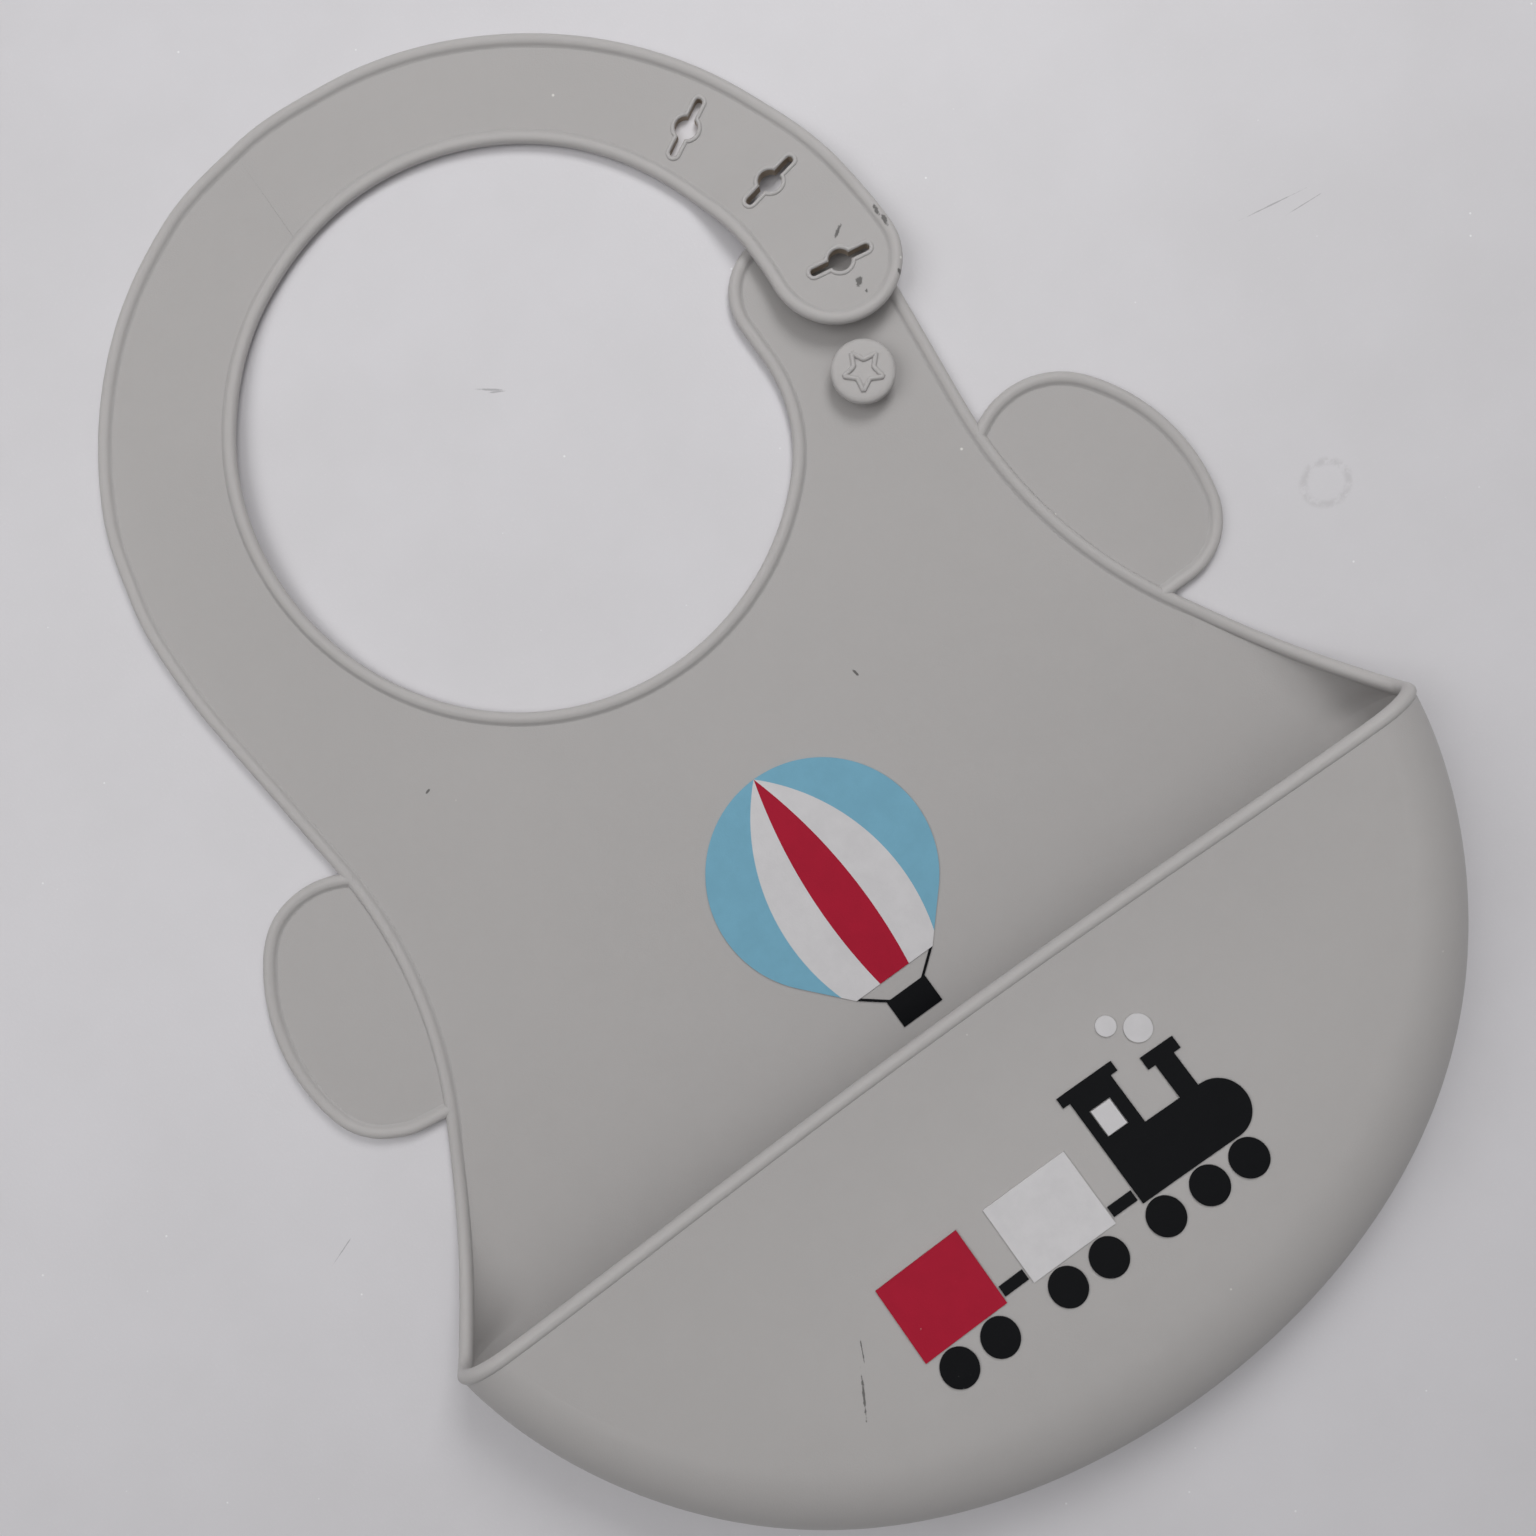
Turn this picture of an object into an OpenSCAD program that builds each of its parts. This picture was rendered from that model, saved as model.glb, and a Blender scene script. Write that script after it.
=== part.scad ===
// Silicone baby bib with a food pocket, side flaps and a buttoned neck loop, lying on its back.
// Millimetres. +X runs along the pocket's lip, +Y towards the neck, +Z up from the back face.
// The origin lies on the back face, under the middle of the lip.

/* [Sheet and bead] */
// Thickness of the silicone sheet
sheet_t = 1.8; // [1.4:0.1:2.4]
// Diameter of the round bead along every free edge
bead_d = 2.8; // [2.6:0.1:3.4]
// Height of the bead's underside above the back face
bead_step = 0.2; // [0.1:0.05:0.4]

/* [Chest panel] */
// Width across the waist, over the beads
waist_w = 150.2; // [145:0.2:164]
// Height of the waist above the lip
waist_y = 82.5; // [78:0.5:88]
// Radius of the side edge at the waist
waist_r = 92; // [84:1:100]
// Lean of the straight side edge between the waist and the pocket's corner
flank_angle = 30; // [26:1:33]
// Height of the fold line across both shoulders, above the lip
shoulder_y = 94.5; // [93.5:0.5:97]

/* [Pocket] */
// Distance from the lip down to the pocket's bottom edge
pocket_drop = 83; // [76:0.5:92]
// How far the pocket's lower corners draw in from a half ellipse
bowl_slim = 5; // [0:0.5:6]
// Radius of the roll that joins the pocket's back and front walls
roll_r = 13; // [10:0.5:15]
// How far the middle of the lip sags below the top of the roll
lip_sag = 8.5; // [4:0.5:11]

/* [Neck loop] */
// Centre of the neck hole's upper arc, across
neck_x = 3.6; // [2:0.2:5]
// Centre of the neck hole's upper arc, above the lip
neck_y = 137.2; // [134:0.2:140]
// Radius of the neck hole's lower arc
neck_low_r = 53.2; // [51:0.2:54]
// Centre of the loop's outer arc, across
loop_x = 2.5; // [1:0.5:4]
// Centre of the loop's outer arc, above the lip
loop_y = 133.5; // [131:0.5:136]
// Centre of the strap's round end, across
end_x = 70.7; // [69:0.1:73]
// Centre of the strap's round end, above the lip
end_y = 128.1; // [126:0.1:131]
// Radius of the strap's round end
end_r = 13; // [12:0.25:14]
// Direction of the fold between the strap's back and its slotted end
end_fold_angle = 42; // [38:1:48]
// Clear height of the strap's underside over the tab's bead
strap_clearance = 0.5; // [0.4:0.1:1.5]

/* [Button tab] */
// Left edge of the tab, on the neck side
tab_x = 48.8; // [47:0.2:50]
// Width of the tab at its round end
tab_w = 30.5; // [28:0.5:33]
// Radius of the tab's corners
tab_corner_r = 12.3; // [10:0.1:13.5]
// Height of the corners' centres above the lip
tab_corner_y = 128.5; // [125:0.5:131]
// Radius of the neck edge as it turns up into the tab
tab_arc_r = 30; // [26:0.5:34]

/* [Stud] */
// Place of the stud, across
stud_x = 62.5; // [60:0.5:65]
// Place of the stud, above the lip
stud_y = 107.5; // [104:0.5:108.5]
// Diameter of the stud's stem
stem_d = 4.2; // [3.6:0.1:4.2]
// Length of stem between the tab and the head
stem_h = 2.6; // [2.4:0.1:3.5]
// Diameter of the stud's head
head_d = 12.5; // [10:0.1:12.5]
// Thickness of the stud's head
head_t = 2; // [1.6:0.1:3]
// Tip radius of the star on the head
star_r = 4.4; // [3:0.1:4.6]
// Width of the star's raised line
star_line = 0.8; // [0.5:0.1:0.9]
// Height of the star's raised line
star_h = 0.35; // [0.2:0.05:0.6]

/* [Keyhole slots] */
// Diameter of the round hole in the middle of each slot
slot_hole_d = 4.4; // [4.3:0.1:5]
// Overall length of each slot
slot_len = 12.3; // [10:0.1:13]
// Width of each slot's legs
slot_w = 1.4; // [1:0.1:1.5]
// Width of the raised rim round each slot
slot_rim_w = 1.1; // [0.6:0.1:1.4]
// Height of the raised rim
slot_rim_h = 0.3; // [0.2:0.05:0.6]
// Number of slots
slot_count = 3; // [1:1:3]
// Direction of the slot nearest the strap's end
slot_first_angle = -6.5; // [-8:0.5:-5]
// Angle between slots
slot_pitch_angle = 17; // [14:0.5:17]

/* [Side flaps] */
// How far a flap reaches out beyond the waist
ear_out = 30.8; // [28:0.2:36]
// Height of the flap's widest point above the lip
ear_reach_y = 58.5; // [56:0.5:62]
// Height of the flap's top edge above the lip
ear_top_y = 89.2; // [86:0.2:90]
// Height of the flap's bottom edge above the lip
ear_low_y = 38.5; // [38:0.2:41]
// Distance from a flap's outermost edge in to the centre of its upper corner
ear_top_in = 22.4; // [21:0.2:24]
// Radius of the flap's upper shoulder
ear_top_r = 18; // [16:0.5:20]
// Radius of the flap's lower corner
ear_low_r = 14; // [11:0.5:16]
// Distance of the flap's fold line from the side bead's centre
ear_fold_gap = 4; // [3.6:0.1:5]

/* [Prints] */
// Thickness of the printed silicone ink
ink_t = 0.3; // [0.2:0.05:0.5]
// Radius of the balloon printed on the chest
balloon_r = 22.5; // [18:0.5:26]
// Height of the balloon's centre above the lip
balloon_y = 34.5; // [32:0.5:40]
// Length of the train printed on the pocket
train_w = 76; // [60:1:84]
// Depth of the train's centre below the lip
train_drop = 36; // [32:0.5:38]

/* [Hidden] */

$fn = 72;
silicone = [0.66, 0.655, 0.64];
ink_blue = [0.46, 0.66, 0.75];
ink_white = [0.82, 0.81, 0.80];
ink_red = [0.65, 0.12, 0.20];
ink_black = [0.06, 0.06, 0.07];

big = 400;               // larger than the bib, for cutting blocks
arc_step = 3;            // degrees between the points of a drawn arc
bead_r = bead_d / 2;
bead_z = bead_step + bead_r;
bead_seat = bead_r + 0.04;   // from a bead's centre line to the edge of the sheet

// A fold is a plain line at the bead's centre height. The moving side ends in a round on
// that line, and the fixed side stops fold_back short of it.
fold_gap = 0.3;
fold_r = bead_z - 0.1;
bead_fold_r = bead_r - 0.1;
fold_back = bead_z + fold_gap;
joint_line = 0.02;       // hairline between the pieces that make up a bead
end_clear = 0.3;         // how far a bead's square end stays from a fold's limit

// ---- outline, drawn along the beads' centre lines ----

function dir(a) = [cos(a), sin(a)];
function arc_points(c, r, a0, a1) =
    let (n = max(1, ceil(abs(a1 - a0) / arc_step)))
    [for (i = [0:n]) c + r * dir(a0 + (a1 - a0) * i / n)];
// An edge piece is an arc [centre, radius, from, to] or a line [from, to]. The sheet lies on
// the right of the direction of travel.
function inset(e) = len(e) == 4
    ? [e[0], e[1] + sign(e[3] - e[2]) * bead_seat, e[2], e[3]]
    : let (d = (e[1] - e[0]) / norm(e[1] - e[0]), v = bead_seat * [d[1], -d[0]]) [e[0] + v, e[1] + v];
function edge_points(e) = len(e) == 4 ? arc_points(e[0], e[1], e[2], e[3]) : e;
function outline(edges) = [for (e = edges) each edge_points(inset(e))];
// Direction, seen from circle 1, of the line that crosses between two circles and touches both.
function cross_tangent_angle(c1, r1, c2, r2, side) =
    let (d = c2 - c1) atan2(d[1], d[0]) + side * acos((r1 + r2) / norm(d));

end_c = [end_x, end_y];
neck_c = [neck_x, neck_y];
loop_c = [loop_x, loop_y];
end_edge_r = end_r - bead_r;
neck_edge_r = norm(end_c - neck_c) - end_edge_r;
loop_edge_r = norm(end_c - loop_c) + end_edge_r;
end_in_a = atan2(neck_y - end_y, neck_x - end_x);
end_out_a = atan2(end_y - loop_y, end_x - loop_x);

neck_low_edge_r = neck_low_r + bead_r;
neck_low_c = [neck_x - neck_edge_r + neck_low_edge_r, neck_y];
tab_arc_edge_r = tab_arc_r + bead_r;
tab_edge_x = tab_x + bead_r;
tab_arc_a = -acos((tab_edge_x - tab_arc_edge_r - neck_low_c[0]) / (neck_low_edge_r - tab_arc_edge_r));
tab_arc_c = neck_low_c + (neck_low_edge_r - tab_arc_edge_r) * dir(tab_arc_a);
tab_edge_r = tab_corner_r - bead_r;
tab_left_c = [tab_x + tab_corner_r, tab_corner_y];
tab_right_c = [tab_x + tab_w - tab_corner_r, tab_corner_y];

waist_x = waist_w / 2 - bead_r;
waist_right_c = [waist_x + waist_r, waist_y];
waist_left_c = [-waist_right_c[0], waist_y];
left_a = cross_tangent_angle(waist_left_c, waist_r, loop_c, loop_edge_r, -1);
right_a = cross_tangent_angle(waist_right_c, waist_r, tab_right_c, tab_edge_r, 1);

left_waist = [waist_left_c, waist_r, -flank_angle, left_a];
left_side = [waist_left_c + waist_r * dir(left_a), loop_c - loop_edge_r * dir(left_a)];
loop_left = [loop_c, loop_edge_r, 180 + left_a, acos((neck_x - loop_x) / loop_edge_r)];
neck_top_left = [neck_c, neck_edge_r, 90, 180];
neck_low = [neck_low_c, neck_low_edge_r, 180, 360 + tab_arc_a];
tab_arc = [tab_arc_c, tab_arc_edge_r, tab_arc_a, 0];
tab_left = [[tab_edge_x, tab_arc_c[1]], [tab_edge_x, tab_corner_y]];
tab_corner_left = [tab_left_c, tab_edge_r, 180, 90];
tab_top = [tab_left_c + [0, tab_edge_r], tab_right_c + [0, tab_edge_r]];
tab_corner_right = [tab_right_c, tab_edge_r, 90, right_a - 180];
right_side = [tab_right_c - tab_edge_r * dir(right_a), waist_right_c + waist_r * dir(right_a)];
right_waist = [waist_right_c, waist_r, right_a, 180 + flank_angle];

// Beads that end square beside the shoulder fold: the waist on one side of it, and the two
// ends of the neck's low arc on the other
side_end = [
    waist_right_c, waist_r, 180 - asin((shoulder_y - fold_back - end_clear - waist_y) / waist_r),
    180 + flank_angle
];
neck_end_a = asin((shoulder_y + end_clear - neck_y) / neck_low_edge_r);
neck_low_left = [neck_low_c, neck_low_edge_r, 180, 180 - neck_end_a];
neck_low_right = [neck_low_c, neck_low_edge_r, 360 + neck_end_a, 360 + tab_arc_a];

body_edges = [
    left_waist, left_side, loop_left, neck_top_left, neck_low, tab_arc, tab_left,
    tab_corner_left, tab_top, tab_corner_right, right_side, right_waist
];

strap_overrun = 4;       // degrees by which the strap is drawn past its fold line
loop_right = [loop_c, loop_edge_r, loop_left[3] + strap_overrun, end_out_a];
end_round = [end_c, end_edge_r, end_out_a, end_in_a - 360];
neck_top_right = [neck_c, neck_edge_r, end_in_a - 180, 90 + strap_overrun];
strap_edges = [loop_right, end_round, neck_top_right];

// Slots sit on the circle midway between the strap's two edges.
slot_c = (neck_c + loop_c) / 2;
slot_ring_r = (neck_edge_r + loop_edge_r) / 2;

// The strap's right half leans up from the back of the neck to clear the tab it crosses.
strap_lean = atan((bead_z + bead_r + strap_clearance) / (tab_left_c[0] - tab_edge_r / 2 - neck_x));

// ---- side flaps, right one ----

ear_reach = waist_w / 2 + ear_out;
ear_top_x = ear_reach - ear_top_in;
ear_top_c = [ear_top_x, ear_top_y - ear_top_r];
ear_u = ear_reach - ear_top_x;
ear_v = ear_top_c[1] - ear_reach_y;
ear_side_r = (pow(ear_top_r, 2) - pow(ear_u, 2) - pow(ear_v, 2)) / (2 * (ear_top_r - ear_u));
ear_side_c = [ear_reach - ear_side_r, ear_reach_y];
ear_low_cy = ear_low_y + ear_low_r;
ear_low_c = [
    ear_side_c[0] + sqrt(pow(ear_side_r - ear_low_r, 2) - pow(ear_reach_y - ear_low_cy, 2)),
    ear_low_cy
];
ear_top_a = atan2(ear_v, ear_top_c[0] - ear_side_c[0]);
ear_low_a = atan2(ear_low_cy - ear_reach_y, ear_low_c[0] - ear_side_c[0]);
function side_x(y) = waist_right_c[0] - sqrt(pow(waist_r, 2) - pow(y - waist_y, 2));
ear_edge_low_y = ear_low_y + bead_r;
ear_root_a = 180 - acos((ear_top_x - waist_x) / (ear_top_r - bead_r));
ear_top_edge = [ear_top_c, ear_top_r - bead_r, ear_root_a, ear_top_a];
ear_low_edge = [[ear_low_c[0], ear_edge_low_y], [side_x(ear_edge_low_y), ear_edge_low_y]];
ear_round_edges = [
    [ear_side_c, ear_side_r - bead_r, ear_top_a, ear_low_a],
    [ear_low_c, ear_low_r - bead_r, ear_low_a, -90]
];
ear_edges = concat([ear_top_edge], ear_round_edges, [ear_low_edge]);
ear_root = [waist_x - ear_fold_gap, (ear_top_y + ear_low_y) / 2];
// The flap folds on a straight line just outside the curved side bead.
ear_fold_low = [side_x(ear_low_y) + ear_fold_gap, ear_low_y];
ear_fold_top = [side_x(ear_top_y) + ear_fold_gap, ear_top_y];
ear_fold_a = atan2(ear_fold_top[1] - ear_fold_low[1], ear_fold_top[0] - ear_fold_low[0]);

// ---- pocket ----

// Middle of the sheet in the roll, and the pocket's corner at the roll's centre height
roll_mid_r = roll_r - sheet_t / 2;
flank_y = waist_y - waist_r * sin(flank_angle);
flank_x = waist_right_c[0] - waist_r * cos(flank_angle);
corner_x = flank_x + flank_y * tan(flank_angle);
// The roll's centre line is nearly half an ellipse that hangs from the lip line.
roll_ax = corner_x - roll_mid_r;
roll_ay = pocket_drop - roll_r;
quarter = roll_mid_r * PI / 2;
seat = bead_r * cos(22.5) + 0.05;   // from a rim bead's centre to the sheet's edge
// The flank's bead runs aslant to its stations, the more so where it climbs, so the sheet
// starts further along them.
function flank_seat(k) = seat / cos(flank_angle + 7 + 5 * k);
// At the lip's corner the tray's edge is cut off aslant, clear of the bead that rounds it.
corner_clear = 1.1 * sqrt(2) * bead_r;
corner_a = asin(corner_clear / roll_ay);
flank_steps = 10;
bowl_steps = 40;
roll_steps = 6;
front_steps = 9;

// A station is [roll centre point, direction across the roll, curl in degrees, start of the sheet].
function flank_curl(k) = 90 * pow(k, 1.4);
function flank_edge_x(y) = flank_x + (flank_y - y) * tan(flank_angle);
function flank_station(k, side) =
    let (y = flank_y * (1 - k), a = flank_curl(k))
    [[side * (flank_edge_x(y) - roll_mid_r * sin(a)), y], [side, 0], a, k < 1 ? flank_seat(k) : corner_clear];
function bowl_centre(a) =
    [roll_ax * cos(a) - bowl_slim * sin(2 * a) * pow(abs(cos(a)), 3), -roll_ay * sin(a)];
function bowl_station(a) = [bowl_centre(a), [cos(a), -sin(a)], 90, 0];
tray_stations = concat(
    [for (i = [0:flank_steps]) flank_station(i / flank_steps, 1)],
    [bowl_station(corner_a)],
    [for (i = [1:bowl_steps - 1]) bowl_station(180 * i / bowl_steps)],
    [bowl_station(180 - corner_a)],
    [for (i = [flank_steps:-1:0]) flank_station(i / flank_steps, -1)]
);
// Point of the rolled sheet at distance s from the bead, at depth o below its outer face
function tray_point(st, s, o) =
    let (
        curl_len = roll_mid_r * st[2] * PI / 180,
        a = max(0, st[2] - s / roll_mid_r * 180 / PI),
        across = (roll_r - o) * sin(a) - max(0, s - curl_len),
        p = st[0] + across * st[1]
    )
    [p[0], p[1], roll_r - (roll_r - o) * cos(a)];
function tray_row(st, k, o) = tray_point(st, st[3] + (quarter - st[3]) * (1 - k / roll_steps), o);

// Depth of the lip's sag, spread over the front wall inside the roll
function sag(x, y) =
    let (w = max(0, 1 - pow(x / roll_ax, 2)), q = min(1, max(0, -y) / max(0.01, roll_ay * sqrt(w))))
    lip_sag * pow(w, 1.5) * pow(1 - q * q, 2);
function front_z(x, y) = 2 * roll_r - sag(x, y);
function front_normal(x, y) =
    let (d = 0.01, n = [(sag(x + d, y) - sag(x - d, y)) / (2 * d), (sag(x, y + d) - sag(x, y - d)) / (2 * d), 1])
    n / norm(n);
// Point of the front wall at (x, y), at height o above its outer face
function front_point(x, y, o) = [x, y, front_z(x, y)] + o * front_normal(x, y);

front_start_a = asin(seat / roll_ay);
function front_angle(j) = front_start_a + (180 - 2 * front_start_a) * j / bowl_steps;
// Column j of the front wall runs from the roll's widest line, over the roll, to the lip.
function front_column(j, o) =
    let (
        a = front_angle(j),
        t = bowl_centre(a),
        d = j == 0 ? [1, 0] : j == bowl_steps ? [-1, 0] : [cos(a), -sin(a)]
    )
    concat(
        [for (k = [0:roll_steps])
            let (b = 90 + 90 * k / roll_steps, p = t + (roll_r - o) * sin(b) * d)
            [p[0], p[1], roll_r - (roll_r - o) * cos(b)]],
        [for (k = [1:front_steps]) front_point(t[0], t[1] + (-seat - t[1]) * k / front_steps, -o)]
    );

// Route of the rim's bead from the right flank to the middle of the lip, as [point, inward normal]
function rim_flank(k) =
    let (
        st = flank_station(k, 1),
        a = st[2],
        n = [-sin(a), 0, cos(a)],
        p = [st[0][0] + roll_mid_r * sin(a), st[0][1], roll_r - roll_mid_r * cos(a)]
    )
    [p + (bead_z - sheet_t / 2) * (1 - k) * n, n];
function rim_roll(a) =
    [[roll_ax + roll_mid_r * sin(a), 0, roll_r - roll_mid_r * cos(a)], [-sin(a), 0, cos(a)]];
function rim_lip(x) = [front_point(x, 0, -sheet_t / 2), [0, 0, -1]];
lip_steps = 14;
rim_right = concat(
    [for (i = [0:flank_steps - 1]) rim_flank(i / flank_steps)],
    [for (a = [90:10:180]) rim_roll(a)],
    [for (i = [lip_steps - 1:-1:0]) rim_lip(roll_ax * i / lip_steps)]
);
function flip(r) = [[-r[0][0], r[0][1], r[0][2]], [-r[1][0], r[1][1], r[1][2]]];
rim_route = concat(rim_right, [for (i = [len(rim_right) - 2:-1:0]) flip(rim_right[i])]);

function unit(v) = v / norm(v);
// Two triangles of a four-cornered face, without any that has lost a corner
function triangles(a, b, c, d) =
    [for (t = [[a, b, c], [a, c, d]]) if (t[0] != t[1] && t[1] != t[2] && t[0] != t[2]) t];

// ---- building blocks ----

// Each piece of a bead stops joint_line / 2 short of its ends.
module bead_arc(e) {
    trim = joint_line / e[1] * 180 / PI;
    translate([e[0][0], e[0][1], bead_z])
        rotate([0, 0, min(e[2], e[3]) + trim / 2])
            rotate_extrude(angle = abs(e[3] - e[2]) - trim)
                translate([e[1], 0]) circle(bead_r, $fn = 32);
}

module rod(p, q, r) {
    d = q - p;
    translate([p[0], p[1], bead_z])
        rotate([0, 0, atan2(d[1], d[0])])
            translate([joint_line / 2, 0, 0])
                rotate([0, 90, 0]) rotate(90) cylinder(h = norm(d) - joint_line, r = r, $fn = 32);
}

// Beads along the edges, each cut to the region that the children fill
module cut_beads(edges) {
    for (e = edges)
        intersection() {
            if (len(e) == 4) bead_arc(e);
            else rod(e[0], e[1], bead_r);
            children();
        }
}

module sheet(edges, closing = []) {
    linear_extrude(sheet_t) polygon(concat(outline(edges), closing));
}

// A fold is [point, direction]; its moving side lies on the left of the direction.
module left_of(p, a) {
    translate([p[0], p[1], 0]) rotate([0, 0, a])
        translate([-big, 0, -big / 2]) cube([2 * big, big, big]);
}

module moving_side(fold, r) {
    left_of(fold[0], fold[1]);
    rod(fold[0] - big * dir(fold[1]), fold[0] + big * dir(fold[1]), r);
}

module fixed_side(fold) {
    left_of(fold[0] - fold_back * dir(fold[1] + 90), fold[1] + 180);
}

module lean() {
    translate([neck_x, 0, bead_z]) rotate([0, -strap_lean, 0]) translate([-neck_x, 0, -bead_z])
        children();
}

shoulder_fold = [[0, shoulder_y], 0];
strap_fold = [neck_c, -90];
end_fold = [neck_c, end_fold_angle + 180];
ear_fold = [ear_fold_low, ear_fold_a + 180];

// ---- chest panel ----

module chest_panel() {
    color(silicone) intersection() {
        sheet(body_edges);
        fixed_side(shoulder_fold);
        left_of([0, flank_y], 0);
    }
}

module neck_bead() {
    color(silicone) cut_beads([neck_low]) fixed_side(shoulder_fold);
}

module side_bead_right() {
    color(silicone) bead_arc(side_end);
}

module side_bead_left() {
    color(silicone) mirror([1, 0, 0]) bead_arc(side_end);
}

// ---- side flaps ----

// Narrow root of a flap, between the side bead and the flap's fold line
module flap_root() {
    intersection() {
        union() {
            sheet(ear_edges, [ear_root]);
            cut_beads([ear_top_edge, ear_low_edge]) fixed_side(ear_fold);
        }
        translate([waist_right_c[0], waist_right_c[1], -1])
            cylinder(h = bead_z + bead_r + 2, r = waist_r - bead_seat, $fn = 720);
        fixed_side(ear_fold);
    }
}

module flap() {
    intersection() {
        sheet(ear_edges, [ear_root]);
        moving_side(ear_fold, fold_r);
    }
}

module flap_bead() {
    for (e = ear_round_edges) bead_arc(e);
    cut_beads([ear_top_edge, ear_low_edge]) moving_side(ear_fold, bead_fold_r);
}

module flap_root_right() {
    color(silicone) flap_root();
}

module flap_root_left() {
    color(silicone) mirror([1, 0, 0]) flap_root();
}

module flap_right() {
    color(silicone) flap();
}

module flap_left() {
    color(silicone) mirror([1, 0, 0]) flap();
}

module flap_bead_right() {
    color(silicone) flap_bead();
}

module flap_bead_left() {
    color(silicone) mirror([1, 0, 0]) flap_bead();
}

// ---- pocket ----

// Back wall of the pocket: flat under the lip, rolled up at the sides and the bottom
module pocket_tray() {
    n = len(tray_stations);
    m = roll_steps + 1;
    points = [for (o = [0, sheet_t]) for (st = tray_stations) for (k = [0:roll_steps]) tray_row(st, k, o)];
    function at(i, k, in) = (in * n + i) * m + k;
    faces = concat(
        [for (i = [0:n - 2]) for (k = [0:m - 2])
            each triangles(at(i, k, 0), at(i, k + 1, 0), at(i + 1, k + 1, 0), at(i + 1, k, 0))],
        [for (i = [0:n - 2]) for (k = [0:m - 2])
            each triangles(at(i, k, 1), at(i + 1, k, 1), at(i + 1, k + 1, 1), at(i, k + 1, 1))],
        [for (i = [0:n - 2])
            each triangles(at(i, m - 1, 0), at(i, m - 1, 1), at(i + 1, m - 1, 1), at(i + 1, m - 1, 0))],
        [for (k = [0:m - 2]) each triangles(at(0, k, 0), at(0, k, 1), at(0, k + 1, 1), at(0, k + 1, 0))],
        [for (k = [0:m - 2])
            each triangles(at(n - 1, k, 0), at(n - 1, k + 1, 0), at(n - 1, k + 1, 1), at(n - 1, k, 1))],
        triangles(at(0, 0, 0), at(n - 1, 0, 0), at(n - 1, 0, 1), at(0, 0, 1)),
        [[for (i = [0:n - 1]) at(i, 0, 0)]],
        [[for (i = [n - 1:-1:0]) at(i, 0, 1)]]
    );
    color(silicone) polyhedron(points, faces, convexity = 6);
}

// Front wall of the pocket: the roll's upper half, then a wall that sags towards the lip
module pocket_front() {
    n = bowl_steps + 1;
    m = roll_steps + front_steps + 1;
    points = [for (o = [0, sheet_t]) for (j = [0:bowl_steps]) each front_column(j, o)];
    // The first and last columns end where they reach the lip.
    function at(j, k, in) = (in * n + j) * m + (j == 0 || j == n - 1 ? min(k, roll_steps) : k);
    faces = concat(
        [for (j = [0:n - 2]) for (k = [0:m - 2])
            each triangles(at(j, k, 0), at(j, k + 1, 0), at(j + 1, k + 1, 0), at(j + 1, k, 0))],
        [for (j = [0:n - 2]) for (k = [0:m - 2])
            each triangles(at(j, k, 1), at(j + 1, k, 1), at(j + 1, k + 1, 1), at(j, k + 1, 1))],
        [for (j = [0:n - 2])
            each triangles(at(j, m - 1, 0), at(j, m - 1, 1), at(j + 1, m - 1, 1), at(j + 1, m - 1, 0))],
        [for (j = [0:n - 2])
            each triangles(at(j, 0, 0), at(j + 1, 0, 0), at(j + 1, 0, 1), at(j, 0, 1))],
        [for (k = [0:roll_steps - 1])
            each triangles(at(0, k, 0), at(0, k, 1), at(0, k + 1, 1), at(0, k + 1, 0))],
        [for (k = [0:roll_steps - 1])
            each triangles(at(n - 1, k, 0), at(n - 1, k + 1, 0), at(n - 1, k + 1, 1), at(n - 1, k, 1))]
    );
    color(silicone) polyhedron(points, faces, convexity = 6);
}

// Bead along both flanks and the lip, swept as an eight-sided tube
module pocket_rim() {
    n = len(rim_route);
    sides = 8;
    function tangent(i) = unit(rim_route[min(i + 1, n - 1)][0] - rim_route[max(i - 1, 0)][0]);
    function ring(i) =
        let (
            t = tangent(i),
            m = unit(rim_route[i][1] - (rim_route[i][1] * t) * t),
            w = cross(t, m)
        )
        [for (k = [0:sides - 1])
            let (a = 360 * (k + 0.5) / sides) rim_route[i][0] + bead_r * (cos(a) * w + sin(a) * m)];
    points = [for (i = [0:n - 1]) each ring(i)];
    function at(i, k) = i * sides + (k % sides);
    faces = concat(
        [for (i = [0:n - 2]) for (k = [0:sides - 1])
            each triangles(at(i, k), at(i, k + 1), at(i + 1, k + 1), at(i + 1, k))],
        [[for (k = [sides - 1:-1:0]) at(0, k)]],
        [[for (k = [0:sides - 1]) at(n - 1, k)]]
    );
    color(silicone) polyhedron(points, faces, convexity = 6);
}

// ---- neck loop ----

module shoulder_strap() {
    color(silicone) intersection() {
        sheet(body_edges);
        moving_side(shoulder_fold, fold_r);
        fixed_side(strap_fold);
    }
}

module shoulder_bead() {
    color(silicone) {
        bead_arc(neck_low_left);
        cut_beads([left_side]) moving_side(shoulder_fold, bead_fold_r);
        cut_beads([loop_left, neck_top_left]) fixed_side(strap_fold);
    }
}

module button_tab() {
    color(silicone) intersection() {
        sheet(body_edges);
        moving_side(shoulder_fold, fold_r);
        left_of(neck_c + [end_r, 0], -90);
    }
}

module tab_bead() {
    color(silicone) {
        for (e = [neck_low_right, tab_arc, tab_corner_left, tab_corner_right]) bead_arc(e);
        for (e = [tab_left, tab_top]) rod(e[0], e[1], bead_r);
        cut_beads([right_side]) moving_side(shoulder_fold, bead_fold_r);
    }
}

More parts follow.
